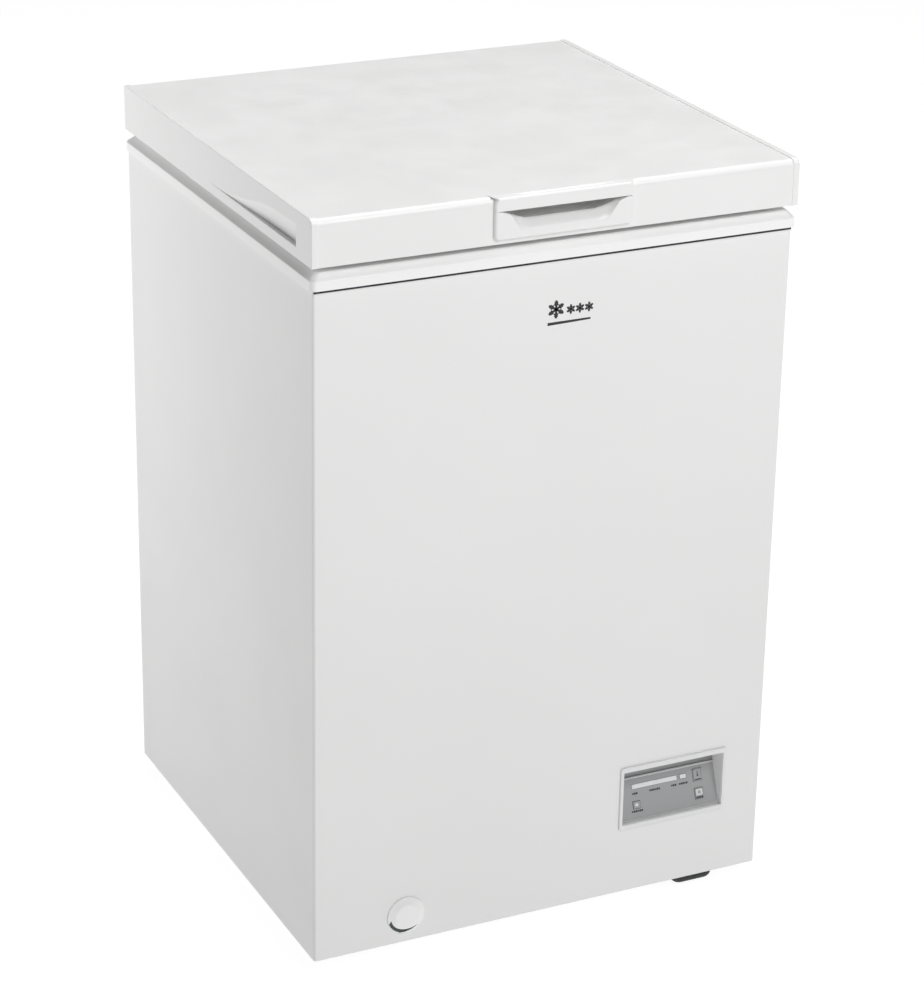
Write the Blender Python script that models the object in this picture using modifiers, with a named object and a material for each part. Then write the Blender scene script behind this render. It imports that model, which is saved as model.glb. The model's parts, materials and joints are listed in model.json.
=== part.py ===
"""Small chest freezer, 100 litre class, standing on four feet.

Origin: the middle of the overall box, on the floor. +X to the right and -Y to the front, +Z up. Metres.
The lid is shut. Each separate physical piece is one object.
"""

import math

import bmesh
import bpy
from mathutils import Matrix, Vector

# ---- driving dimensions, in metres ----
GAP = 0.0003  # between pieces that touch

CABINET_X = 0.270  # half the width
FRONT_Y = -0.266
REAR_Y = 0.258
CABINET_Z = 0.019  # underside
SHEET = 0.0008
CORNER_R = 0.004

COLLAR_X = 0.273
COLLAR_FRONT_Y = -0.270
COLLAR_REAR_Y = 0.261
COLLAR_Z = 0.7713
COLLAR_TOP_Z = 0.789
COLLAR_WEB_Z = 0.7862  # underside of its top
LIP = 0.002  # the collar's inner leg, which hangs inside the tub
LIP_Z = 0.765

TUB_X = 0.214
TUB_FRONT_Y = -0.211
TUB_REAR_Y = 0.202
TUB_Z = 0.081
TUB_SHEET = 0.001
TUB_R = 0.005
STEP_X = 0.060
STEP_Z = 0.270
FOAM_TOP_Z = 0.7829
SKIN_TOP_Z = COLLAR_WEB_Z - 0.0022 - GAP

BASE_Z = 0.020
BASE_SHEET = 0.001
BAY_X = 0.106
BAY_FRONT_Y = -0.214
BAY_TOP_Z = 0.224

LID_X = 0.273
LID_FRONT_Y = -0.2705
LID_REAR_Y = 0.2602
LID_Z = 0.795
LID_TOP_Z = 0.845
LID_SKIN = 0.002
LID_EDGE_R = 0.0075  # of the front edge, seen from the side
LID_REAR_R = 0.0025
TRIM_WIDE = 0.0072  # of the end cap on each side of the lid
LID_SHEET_X = LID_X - TRIM_WIDE - GAP
LID_SHEET_FRONT_Y = LID_FRONT_Y + 0.0006  # the end caps stand a little proud of the sheet between them
LID_SHEET_TOP_Z = LID_TOP_Z - 0.0010
LINER_Z = 0.796
BOSS_X = 0.195
BOSS_FRONT_Y = -0.190
BOSS_REAR_Y = 0.180
BOSS_Z = 0.786

RECESS_FRONT_Y = -0.2315  # the hand scoop in each side of the lid
RECESS_Z = 0.807
RECESS_TOP = [(-0.2315, 0.831), (-0.163, 0.829), (-0.135, 0.825), (-0.115, 0.821), (-0.073, 0.813),
              (-0.038, 0.809)]
RECESS_TIP = (-0.001, 0.807)
RECESS_DEPTH = 0.0058

GRIP_X = 0.078
GRIP_Z = 0.800
GRIP_FRONT_Y = -0.2745
GRIP_BACK_Y = -0.2405
SLOT_X = 0.066
VISOR_Z = 0.829

PANEL_X = (0.093, 0.2255)
PANEL_Z = (0.097, 0.1735)
PANEL_OPEN_X = (0.097, 0.2215)
PANEL_OPEN_Z = (0.1025, 0.1675)
PANEL_PROUD = 0.0023
PANEL_BACK_Y = -0.244
FASCIA_FOOT = (-0.2637, 0.1023)  # y and z of the fascia's lowest line
FASCIA_TILT = math.radians(19.9)
FASCIA_LENGTH = 0.048
FASCIA_THICK = 0.002
KEY_TRAVEL = 0.0008

DRAIN_X = -0.1635
DRAIN_Z = 0.0515
DRAIN_Y = -0.185  # of the hole in the tub floor
DRAIN_BORE = 0.008
DRAIN_CAP_R = 0.0215
DRAIN_FACE_R = 0.0146
DRAIN_CAP_FRONT_Y = -0.2700

PIVOT_Y = 0.267
PIVOT_Z = 0.795
PIN_R = 0.003
PIN_CLEARANCE = 0.00008
HINGE_XS = {"left": -0.185, "right": 0.185}
HINGE_HALF = 0.025
HINGE_BACK_Y = 0.2745

FOOT_TOP = 0.025  # half a foot's side at its top
FOOT_PLACES = {
    "front_left": (-0.202, -0.190),
    "front_right": (0.202, -0.226),
    "rear_left": (-0.202, 0.215),
    "rear_right": (0.202, 0.215),
}

SHELL_CENTRE = (0.188, 0.130)
SHELL_R = (0.060, 0.074)
SHELL_Z = 0.0395
SHELL_HEIGHT = 0.148
MOUNT_PLATE_Z = 0.036
GROMMET_PLACES = {"a": (0.136, 0.045), "b": (0.240, 0.045), "c": (0.136, 0.215), "d": (0.240, 0.215)}

BASKET_X = (0.016, 0.204)
BASKET_Y = (-0.203, 0.194)
BASKET_Z = (0.575, 0.772)
BASKET_WIRE = 0.003

# ---- scene, collections and materials ----
for old in list(bpy.data.objects):
    bpy.data.objects.remove(old, do_unlink=True)

SCENE = bpy.context.scene
SCENE.unit_settings.system = "METRIC"
PARTS = bpy.data.collections.new("chest_freezer")
CUTTERS = bpy.data.collections.new("cutters")
SCENE.collection.children.link(PARTS)
SCENE.collection.children.link(CUTTERS)


def material(name, rgb, roughness, metallic=0.0):
    made = bpy.data.materials.new(name)
    made.use_nodes = True
    shader = made.node_tree.nodes["Principled BSDF"]
    shader.inputs["Base Color"].default_value = (*rgb, 1.0)
    shader.inputs["Roughness"].default_value = roughness
    shader.inputs["Metallic"].default_value = metallic
    made.diffuse_color = (*rgb, 1.0)
    return made


WHITE_STEEL = material("white_steel", (0.86, 0.86, 0.85), 0.35)
WHITE_PLASTIC = material("white_plastic", (0.88, 0.88, 0.87), 0.3)
GREY_PLASTIC = material("grey_plastic", (0.42, 0.43, 0.44), 0.45)
LIGHT_GREY = material("light_grey_plastic", (0.70, 0.71, 0.71), 0.4)
DARK_PLASTIC = material("dark_plastic", (0.08, 0.08, 0.085), 0.5)
BLACK_RUBBER = material("black_rubber", (0.02, 0.02, 0.02), 0.8)
GASKET = material("gasket_grey", (0.55, 0.56, 0.56), 0.7)
STUCCO = material("stucco_aluminium", (0.75, 0.76, 0.77), 0.35, 1.0)
ZINC = material("zinc_steel", (0.62, 0.63, 0.64), 0.4, 1.0)
COPPER = material("copper", (0.72, 0.38, 0.24), 0.35, 1.0)
FOAM = material("yellow_foam", (0.82, 0.72, 0.45), 0.9)
BLACK_STEEL = material("black_steel", (0.03, 0.03, 0.03), 0.45, 0.3)
BOARD = material("board_green", (0.05, 0.22, 0.12), 0.5)
LENS = material("clear_lens", (0.9, 0.92, 0.93), 0.2)
WIRE_COAT = material("wire_coating", (0.85, 0.85, 0.84), 0.35)


# ---- mesh helpers ----
def as_object(name, bm, mat=None, collection=PARTS):
    bmesh.ops.remove_doubles(bm, verts=bm.verts, dist=1e-7)
    bmesh.ops.recalc_face_normals(bm, faces=bm.faces)
    mesh = bpy.data.meshes.new(name)
    bm.to_mesh(mesh)
    bm.free()
    obj = bpy.data.objects.new(name, mesh)
    collection.objects.link(obj)
    if mat:
        mesh.materials.append(mat)
    return obj


def block(name, low, high, mat=None):
    """A box between two corners."""
    bm = bmesh.new()
    bmesh.ops.create_cube(bm, size=1.0)
    low, high = Vector(low), Vector(high)
    size, centre = high - low, (high + low) / 2
    bmesh.ops.transform(bm, matrix=Matrix.Translation(centre) @ Matrix.Diagonal((*size, 1)), verts=bm.verts)
    return as_object(name, bm, mat)


def prism(name, outline, axis, start, end, mat=None):
    """An outline in the plane across an axis, pushed along it. The outline's pairs keep the X, Y, Z order."""
    bm = bmesh.new()
    place = {"X": lambda a, b: (start, a, b), "Y": lambda a, b: (a, start, b),
             "Z": lambda a, b: (a, b, start)}[axis]
    face = bm.faces.new([bm.verts.new(place(*pair)) for pair in outline])
    push = {"X": Vector((1, 0, 0)), "Y": Vector((0, 1, 0)), "Z": Vector((0, 0, 1))}[axis] * (end - start)
    grown = bmesh.ops.extrude_face_region(bm, geom=[face])
    bmesh.ops.translate(bm, vec=push, verts=[v for v in grown["geom"] if isinstance(v, bmesh.types.BMVert)])
    bmesh.ops.recalc_face_normals(bm, faces=bm.faces)
    return as_object(name, bm, mat)


def loft(name, loops, mat=None):
    """A solid through a row of loops that have the same number of points."""
    bm = bmesh.new()
    rows = [[bm.verts.new(point) for point in loop] for loop in loops]
    for low, high in zip(rows, rows[1:]):
        for i in range(len(low)):
            j = (i + 1) % len(low)
            bm.faces.new((low[i], low[j], high[j], high[i]))
    bm.faces.new(rows[0])
    bm.faces.new(rows[-1])
    return as_object(name, bm, mat)


def rounded_rect(x0, x1, y0, y1, radius, steps=3):
    """Points round a rectangle with round corners, anticlockwise."""
    points = []
    corners = [(x1 - radius, y1 - radius, 0), (x0 + radius, y1 - radius, 90), (x0 + radius, y0 + radius, 180),
               (x1 - radius, y0 + radius, 270)]
    for cx, cy, turn in corners:
        for step in range(steps + 1):
            angle = math.radians(turn + 90 * step / steps)
            points.append((cx + radius * math.cos(angle), cy + radius * math.sin(angle)))
    return points


def ring(name, rect, radius, profile, mat, steps=3):
    """A closed profile of (outward offset, z) pairs, swept round a rectangle with round corners.
    A third number in a pair is the corner radius of that line."""
    x0, x1, y0, y1 = rect
    bm = bmesh.new()
    loops = []
    for out, z, *own in profile:
        turn = own[0] if own else max(radius + out, 0.0008)
        outline = rounded_rect(x0 - out, x1 + out, y0 - out, y1 + out, turn, steps)
        loops.append([bm.verts.new((x, y, z)) for x, y in outline])
    for a, b in zip(loops, loops[1:] + loops[:1]):
        for i in range(len(a)):
            j = (i + 1) % len(a)
            bm.faces.new((a[i], a[j], b[j], b[i]))
    return as_object(name, bm, mat)


def turned(name, profile, axis, centre, mat=None, steps=24, scale=(1, 1, 1)):
    """A profile of (radius, height) pairs, from one end of its axis to the other, spun right round."""
    bm = bmesh.new()
    points = [bm.verts.new((r, 0, h)) for r, h in profile]
    edges = [bm.edges.new(pair) for pair in zip(points, points[1:])]
    if profile[0] != profile[-1] and profile[0][0] > 1e-6:
        edges.append(bm.edges.new((points[-1], points[0])))
    bmesh.ops.spin(bm, geom=points + edges, cent=(0, 0, 0), axis=(0, 0, 1), angle=2 * math.pi, steps=steps,
                   use_merge=True)
    bmesh.ops.remove_doubles(bm, verts=bm.verts, dist=1e-6)
    lean = {"Z": Matrix.Identity(4), "-Z": Matrix.Rotation(math.pi, 4, "X"),
            "-Y": Matrix.Rotation(math.pi / 2, 4, "X"), "Y": Matrix.Rotation(-math.pi / 2, 4, "X"),
            "X": Matrix.Rotation(math.pi / 2, 4, "Y"), "-X": Matrix.Rotation(-math.pi / 2, 4, "Y")}[axis]
    bmesh.ops.transform(bm, matrix=Matrix.Translation(centre) @ Matrix.Diagonal((*scale, 1)) @ lean,
                        verts=bm.verts)
    return as_object(name, bm, mat)


def rod(name, radius, start, end, axis, centre, mat=None, steps=20):
    """A plain cylinder along an axis, from start to end measured from the centre."""
    return turned(name, [(0, start), (radius, start), (radius, end), (0, end)], axis, centre, mat, steps)


def bent(points, radius, steps=3):
    """A path with its inner corners rounded."""
    points = [Vector(p) for p in points]
    path = [points[0]]
    for before, here, after in zip(points, points[1:], points[2:]):
        into, away = (here - before).normalized(), (after - here).normalized()
        angle = into.angle(away)
        if angle < 0.05:
            path.append(here)
            continue
        reach = min(radius * math.tan(angle / 2), 0.45 * (here - before).length, 0.45 * (after - here).length)
        for step in range(steps + 1):
            t = step / steps
            path.append((here - into * reach).lerp(here, t).lerp(here.lerp(here + away * reach, t), t))
    return path + [points[-1]]


def pipe(name, path, radius, mat=None, sides=6, capped=True):
    """A round pipe along a path, made with a bevelled curve."""
    curve = bpy.data.curves.new(name + "_path", "CURVE")
    curve.dimensions = "3D"
    curve.twist_mode = "MINIMUM"
    spline = curve.splines.new("POLY")
    spline.points.add(len(path) - 1)
    for point, place in zip(spline.points, path):
        point.co = (*place, 1.0)
    curve.bevel_depth = radius
    curve.bevel_resolution = (sides - 4) // 2
    curve.use_fill_caps = capped
    guide = bpy.data.objects.new(name + "_guide", curve)
    PARTS.objects.link(guide)
    mesh = bpy.data.meshes.new_from_object(guide)
    bpy.data.objects.remove(guide)
    bpy.data.curves.remove(curve)
    bm = bmesh.new()
    bm.from_mesh(mesh)
    bpy.data.meshes.remove(mesh)
    return as_object(name, bm, mat)


def as_cutter(obj):
    for holder in list(obj.users_collection):
        holder.objects.unlink(obj)
    CUTTERS.objects.link(obj)
    obj.hide_render = True
    obj.display_type = "WIRE"
    return obj


def boolean(target, other, operation):
    as_cutter(other)
    step = target.modifiers.new(operation.lower() + "_" + other.name, "BOOLEAN")
    step.operation = operation
    step.solver = "EXACT"
    step.object = other
    return target


def cut(target, *others):
    for other in others:
        boolean(target, other, "DIFFERENCE")
    return target


def join(target, *others):
    for other in others:
        boolean(target, other, "UNION")
    return target


def bevel(obj, width, segments=2, angle=40):
    step = obj.modifiers.new("bevel", "BEVEL")
    step.width = width
    step.segments = segments
    step.limit_method = "ANGLE"
    step.angle_limit = math.radians(angle)
    step.use_clamp_overlap = True
    return obj


def set_origin(obj, place):
    """Puts the object's origin on its joint without moving its shape."""
    obj.data.transform(Matrix.Translation(-Vector(place)))
    obj.location = place


# ---- cabinet ----
def tub_outline(grow):
    """The tub's section from the front, with the step over the compressor, grown outward."""
    right, floor = STEP_X + grow, TUB_Z - grow
    return [(-TUB_X - grow, floor), (right, floor), (right, STEP_Z - grow), (TUB_X + grow, STEP_Z - grow),
            (TUB_X + grow, FOAM_TOP_Z + 0.02), (-TUB_X - grow, FOAM_TOP_Z + 0.02)]


def tub_solid(name, grow, mat=None):
    solid = prism(name, tub_outline(grow), "Y", TUB_FRONT_Y - grow, TUB_REAR_Y + grow, mat)
    return bevel(solid, TUB_R + grow, 2)


def trim_top(obj, z):
    return cut(obj, block(obj.name + "_top_trim", (-0.4, -0.4, z), (0.4, 0.4, z + 0.2)))


def evaporator_path():
    offset = TUB_SHEET + GAP + 0.0035
    x, y0, y1 = TUB_X + offset, TUB_FRONT_Y - offset, TUB_REAR_Y + offset
    low, pitch, turns = 0.34, 0.095, 4
    points = [(0.150, y1, 0.205), (0.150, y1, low)]
    for turn in range(turns):
        z = low + turn * pitch
        points += [(-x, y1, z + pitch * 0.15), (-x, y0, z + pitch * 0.4), (x, y0, z + pitch * 0.65),
                   (x, y1, z + pitch * 0.9)]
    top = low + turns * pitch
    points += [(0.180, y1, top), (0.180, y1 + 0.0095, top), (0.180, y1 + 0.0095, 0.205)]
    return bent(points, TUB_R + 0.0035, 2)


def condenser_path():
    inset = SHEET + GAP + 0.0025
    x, y0, y1 = CABINET_X - inset, FRONT_Y + inset, REAR_Y - inset
    low, pitch, turns = 0.30, 0.14, 3
    points = [(x, 0.205, 0.170), (x, 0.205, low)]
    for turn in range(turns):
        z = low + turn * pitch
        points += [(x, y0, z + pitch * 0.2), (-x, y0, z + pitch * 0.45), (-x, y1, z + pitch * 0.7),
                   (x, y1, z + pitch * 0.95)]
    top = low + turns * pitch
    points += [(x, 0.165, top), (x - 0.0075, 0.165, top), (x - 0.0075, 0.165, 0.170)]
    return bent(points, 0.012, 2)


def inside_wrapper(rear_y):
    """The plan of what fills the wrapper, with its two round front corners."""
    inset, turn = SHEET + GAP, CORNER_R - SHEET - GAP
    plan = rounded_rect(-CABINET_X + inset, CABINET_X - inset, FRONT_Y + inset, rear_y, turn)
    half = len(plan) // 2
    return [(CABINET_X - inset, rear_y), (-CABINET_X + inset, rear_y)] + plan[half:]


def make_cabinet_skins():
    outer = rounded_rect(-CABINET_X, CABINET_X, FRONT_Y, REAR_Y + 0.05, CORNER_R)
    inner = rounded_rect(-CABINET_X + SHEET, CABINET_X - SHEET, FRONT_Y + SHEET, REAR_Y + 0.1,
                         CORNER_R - SHEET)
    wrapper = prism("outer_wrapper", outer, "Z", CABINET_Z, SKIN_TOP_Z, WHITE_STEEL)
    cut(wrapper, prism("wrapper_inside", inner, "Z", 0, 1))
    cut(wrapper, block("wrapper_rear_trim", (-0.4, REAR_Y, 0), (0.4, 0.5, 1)))
    cut(wrapper,
        block("wrapper_panel_opening", (PANEL_OPEN_X[0] - 0.002, FRONT_Y - 0.01, PANEL_OPEN_Z[0] - 0.002),
                       (PANEL_OPEN_X[1] + 0.002, FRONT_Y + 0.02, PANEL_OPEN_Z[1] + 0.002)))
    cut(wrapper, rod("wrapper_drain_hole", 0.013, -0.02, 0.02, "Y", (DRAIN_X, FRONT_Y, DRAIN_Z)))

    rear = block("rear_panel",
                 (-CABINET_X + SHEET + GAP, REAR_Y - SHEET, CABINET_Z + 0.001 + BASE_SHEET + GAP),
                 (CABINET_X - SHEET - GAP, REAR_Y, SKIN_TOP_Z), WHITE_STEEL)
    cut(rear, block("rear_bay_opening", (0.112, 0.2, 0.030), (0.262, 0.3, 0.216)))

    for mark, side in (("left", -1), ("right", 1)):
        for sheet in (wrapper, rear):
            x = side * 0.2685
            cut(sheet,
                block("notch_%s_%s" % (sheet.name, mark), (x - 0.0025, REAR_Y - 0.0030, COLLAR_Z - 0.002),
                             (x + 0.0025, REAR_Y + 0.002, 0.8)))

    prism("base_plate", inside_wrapper(REAR_Y - 0.0003), "Z", BASE_Z, BASE_Z + BASE_SHEET, ZINC)

    lip_in, lip_out = TUB_R - GAP - LIP, TUB_R - GAP
    lip = COLLAR_X - TUB_X + GAP
    profile = [(0, COLLAR_Z), (0, 0.7835), (-0.0014, 0.7858), (-0.010, COLLAR_TOP_Z, 0.006),
               (-lip, COLLAR_TOP_Z, lip_out), (-lip - LIP, COLLAR_TOP_Z - 0.002, lip_in),
               (-lip - LIP, LIP_Z, lip_in),
               (-lip, LIP_Z, lip_out), (-lip, COLLAR_WEB_Z, lip_out), (-0.0050, COLLAR_WEB_Z, 0.0030),
               (-0.0027, COLLAR_WEB_Z - 0.0022, 0.0038), (-0.0027, COLLAR_Z)]
    ring("top_collar", (-COLLAR_X, COLLAR_X, COLLAR_FRONT_Y, COLLAR_REAR_Y), 0.0065, profile, WHITE_PLASTIC,
         2)


def make_tub_and_foam():
    tub = tub_solid("liner_tub", TUB_SHEET, STUCCO)
    trim_top(tub, FOAM_TOP_Z)
    cut(tub, tub_solid("tub_inside", 0))
    cut(tub, rod("tub_drain_hole", DRAIN_BORE, -0.02, 0.02, "Z", (DRAIN_X, DRAIN_Y, TUB_Z)))

    foam = prism("cabinet_foam", inside_wrapper(REAR_Y - SHEET - GAP), "Z", BASE_Z + BASE_SHEET + GAP,
                 FOAM_TOP_Z,
                 FOAM)
    cut(foam, tub_solid("foam_tub_space", TUB_SHEET + GAP))
    cut(foam, block("foam_bay_space", (BAY_X - SHEET - GAP, BAY_FRONT_Y - SHEET - GAP, 0),
                    (0.4, 0.4, BAY_TOP_Z + SHEET + GAP)))
    cut(foam, block("foam_panel_space", (PANEL_X[0] - 0.0025, -0.3, PANEL_Z[0] - 0.0025),
                    (PANEL_X[1] + 0.0025, PANEL_BACK_Y + 0.0163, PANEL_Z[1] + 0.0025)))
    cut(foam,
        rod("foam_sensor_space", 0.0043, 0.0001, 0.06, "X", (STEP_X + TUB_SHEET, -0.05, 0.16), steps=12))
    cut(foam, pipe("foam_evaporator_groove", evaporator_path(), 0.0038))
    cut(foam, pipe("foam_condenser_groove", condenser_path(), 0.0028))
    cut(foam, pipe("foam_drain_space", drain_path(0.0, 0.02), 0.0104, sides=16))
    cut(foam, rod("foam_drain_socket_space", 0.0130, -0.03, 0.026, "Y", (DRAIN_X, FRONT_Y, DRAIN_Z)))

    pipe("evaporator_coil", evaporator_path(), 0.0035, ZINC)
    pipe("condenser_coil", condenser_path(), 0.0025, COPPER)

    bay = block("bay_liner", (BAY_X - SHEET, BAY_FRONT_Y - SHEET, BASE_Z + BASE_SHEET + GAP),
                (CABINET_X - SHEET - GAP, REAR_Y - SHEET - GAP, BAY_TOP_Z + SHEET), ZINC)
    cut(bay, block("bay_inside", (BAY_X, BAY_FRONT_Y, 0), (0.4, 0.4, BAY_TOP_Z)))
    cut(bay, pipe("bay_evaporator_holes", evaporator_path(), 0.0042))
    cut(bay, pipe("bay_condenser_holes", condenser_path(), 0.0036))
    cut(bay, rod("bay_sensor_hole", 0.0043, -0.02, 0.02, "X", (BAY_X, -0.05, 0.16), steps=12))
    rod("temperature_sensor", 0.004, 0.001, 0.052, "X", (STEP_X + TUB_SHEET, -0.05, 0.16), BLACK_RUBBER, 12)


def make_feet():
    for place, (x, y) in FOOT_PLACES.items():
        levels = ((FOOT_TOP - 0.004, 0), (FOOT_TOP - 0.002, 0.002), (FOOT_TOP, BASE_Z - GAP))
        loops = [[(a, b, z) for a, b in rounded_rect(x - half, x + half, y - half, y + half, 0.008)]
                 for half, z in levels]
        loft("foot_" + place, loops, BLACK_RUBBER)


# ---- compressor bay ----
def make_compressor():
    half = SHELL_HEIGHT / 2
    profile = [(0, 0), (0.030, 0.001), (0.046, 0.010), (0.056, 0.028), (0.0585, half - 0.005),
               (0.060, half - 0.003),
               (0.060, half + 0.003), (0.0585, half + 0.005), (0.056, 0.112), (0.047, 0.133), (0.030, 0.145),
               (0, SHELL_HEIGHT)]
    turned("compressor_shell", profile, "Z", (*SHELL_CENTRE, SHELL_Z), BLACK_STEEL, 24,
           (1, SHELL_R[1] / SHELL_R[0], 1))

    plate = block("compressor_mount", (0.124, 0.030, MOUNT_PLATE_Z), (0.252, 0.230, MOUNT_PLATE_Z + 0.003),
                  BLACK_STEEL)
    for mark, (x, y) in GROMMET_PLACES.items():
        cut(plate, rod("mount_hole_" + mark, 0.0063, -0.01, 0.01, "Z", (x, y, MOUNT_PLATE_Z), steps=16))
        low = BASE_Z + BASE_SHEET + GAP
        profile = [(0, low), (0.010, low), (0.009, MOUNT_PLATE_Z - GAP), (0.006, MOUNT_PLATE_Z - GAP),
                   (0.006, MOUNT_PLATE_Z + 0.0035), (0.0085, MOUNT_PLATE_Z + 0.0035),
                   (0.0075, MOUNT_PLATE_Z + 0.008),
                   (0, MOUNT_PLATE_Z + 0.008)]
        turned("grommet_" + mark, profile, "Z", (x, y, 0), BLACK_RUBBER, 12)

    face_y = SHELL_CENTRE[1] - SHELL_R[1] - 0.0005
    bevel(block("relay_box", (0.166, face_y - 0.030, 0.085), (0.210, face_y, 0.140), DARK_PLASTIC), 0.003, 2)
    profile = [(0, -0.046), (0.003, -0.046), (0.0035, -0.040), (0.009, -0.032), (0.009, 0.032),
               (0.0035, 0.040),
               (0.003, 0.046), (0, 0.046)]
    turned("filter_drier", profile, "Z", (0.122, 0.243, 0.110), COPPER, 16)

    shell_left = SHELL_CENTRE[0] - 0.0600
    mid_z = SHELL_Z + SHELL_HEIGHT / 2
    pipe("discharge_tube",
         bent([(shell_left - 0.0005, 0.130, mid_z), (0.118, 0.130, mid_z), (0.118, 0.130, 0.205),
               (0.118, 0.225, 0.205), (0.225, 0.225, 0.205), (0.225, 0.2135, 0.1935)],
              0.008),
         0.0025, COPPER)
    pipe("suction_tube",
         bent([(0.188, face_y + 0.0001 - 0.0004, 0.160), (0.188, 0.030, 0.160), (0.188, 0.030, 0.190),
               (0.188, -0.080, 0.190), (0.140, -0.080, 0.190), (0.140, -0.080, 0.210)],
              0.010),
         0.0035, COPPER)


def make_rear_grille():
    back = REAR_Y + GAP
    grille = block("rear_grille", (0.107, back, 0.024), (0.267, back + 0.0012, 0.222), ZINC)
    for row in range(8):
        z = 0.062 + row * 0.019
        cut(grille, block("grille_slot_%d" % row, (0.128, 0.2, z), (0.246, 0.3, z + 0.008)))
    cut(grille, rod("grille_cord_hole", 0.008, -0.02, 0.02, "Y", (0.135, back, 0.043), steps=16))
    profile = [(0, -0.009), (0.0077, -0.009), (0.0077, GAP + 0.0012), (0.012, GAP + 0.0012),
               (0.0115, 0.004), (0.007, 0.0105), (0, 0.0105)]
    turned("cord_gland", profile, "Y", (0.135, back, 0.043), BLACK_RUBBER, 16)


# ---- control panel ----
def panel_point(x, along, out):
    """A place on the tilted fascia: across, up along it, and out of its face."""
    up = Vector((0, math.sin(FASCIA_TILT), math.cos(FASCIA_TILT)))
    face = Vector((0, -math.cos(FASCIA_TILT), math.sin(FASCIA_TILT)))
    return Vector((x, *FASCIA_FOOT)) + up * along + face * out


def panel_block(name, xs, along, out, mat=None):
    made = block(name, (xs[0], -out[1], along[0]), (xs[1], -out[0], along[1]), mat)
    made.data.transform(Matrix.Translation((0, *FASCIA_FOOT)) @ Matrix.Rotation(-FASCIA_TILT, 4, "X"))
    return made


LENSES = {"level_bar_lens": ((0.1166, 0.1730), (0.0358, 0.0408)),
          "boost_lens": ((0.1770, 0.1846), (0.0361, 0.0407)),
          "running_lens": ((0.1160, 0.1237), (0.0143, 0.0213))}
KEYS = {"temp_key": ((0.1932, 0.2042), (0.0300, 0.0440)), "boost_key": ((0.1930, 0.2036), (0.0092, 0.0219))}


def make_panel():
    frame_front, frame_back = FRONT_Y - PANEL_PROUD, FRONT_Y - GAP
    bezel = block("control_bezel", (PANEL_X[0], frame_front, PANEL_Z[0]),
                  (PANEL_X[1], frame_back, PANEL_Z[1]),
                  LIGHT_GREY)
    bevel(bezel, 0.0012, 2, 60)
    join(bezel,
         block("bezel_sleeve", (PANEL_OPEN_X[0] - 0.0017, frame_back - 0.001, PANEL_OPEN_Z[0] - 0.0017),
                      (PANEL_OPEN_X[1] + 0.0017, PANEL_BACK_Y, PANEL_OPEN_Z[1] + 0.0017)))
    cut(bezel, block("bezel_opening", (PANEL_OPEN_X[0], -0.3, PANEL_OPEN_Z[0]),
                     (PANEL_OPEN_X[1], -0.2, PANEL_OPEN_Z[1])))

    low_y, high_y = FRONT_Y + SHEET + GAP, PANEL_BACK_Y + 0.016
    housing = block("control_housing", (PANEL_X[0] - 0.002, low_y, PANEL_Z[0] - 0.002),
                    (PANEL_X[1] + 0.002, high_y, PANEL_Z[1] + 0.002), DARK_PLASTIC)
    cut(housing, block("housing_inside", (PANEL_X[0], low_y - 0.01, PANEL_Z[0]),
                       (PANEL_X[1], high_y - 0.0015, PANEL_Z[1])))

    fascia = panel_block("control_fascia", (PANEL_OPEN_X[0] + GAP, PANEL_OPEN_X[1] - GAP),
                         (0.0012, FASCIA_LENGTH),
                         (-FASCIA_THICK, 0), GREY_PLASTIC)
    for name, (xs, along) in LENSES.items():
        cut(fascia, panel_block(name + "_seat", (xs[0] - GAP, xs[1] + GAP), (along[0] - GAP, along[1] + GAP),
                                (-0.01, 0.01)))
        panel_block(name, xs, along, (-0.003, 0.0003), LENS)
    for name, (xs, along) in KEYS.items():
        cut(fascia, panel_block(name + "_seat", (xs[0] - GAP, xs[1] + GAP), (along[0] - GAP, along[1] + GAP),
                                (-0.01, 0.01)))
        key = bevel(panel_block(name, xs, along, (-0.0032, 0.0011), GREY_PLASTIC), 0.0005, 1)
        set_origin(key, panel_point(sum(xs) / 2, sum(along) / 2, 0))
    panel_block("control_board", (PANEL_OPEN_X[0] + 0.004, PANEL_OPEN_X[1] - 0.004),
                (0.006, FASCIA_LENGTH - 0.003),
                (-0.0062, -0.0046), BOARD)


# ---- drain ----
def drain_path(start, end):
    return bent([(DRAIN_X, DRAIN_Y, TUB_Z - TUB_SHEET - GAP + start), (DRAIN_X, DRAIN_Y, DRAIN_Z),
                 (DRAIN_X, FRONT_Y + 0.004 - end, DRAIN_Z)], 0.014, 4)


def drain_mouth():
    """The crescent cut through the cap round the foot of its face, where the water runs out."""
    outer = [(0.0152, 166), (0.0187, 176), (0.0202, 190), (0.0300, 204), (0.0300, 228), (0.0300, 252),
             (0.0300, 276),
             (0.0300, 300), (0.0300, 312), (0.0166, 320)]
    inner = [(DRAIN_FACE_R + 0.0001, turn) for turn in (318, 304, 290, 276, 262, 248, 234, 220, 206, 192,
                                                        178, 168)]
    outline = [(DRAIN_X + r * math.cos(math.radians(turn)), DRAIN_Z + r * math.sin(math.radians(turn)))
               for r, turn in outer + inner]
    return prism("cap_mouth", outline, "Y", DRAIN_CAP_FRONT_Y - 0.002, FRONT_Y + 0.01)


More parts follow.
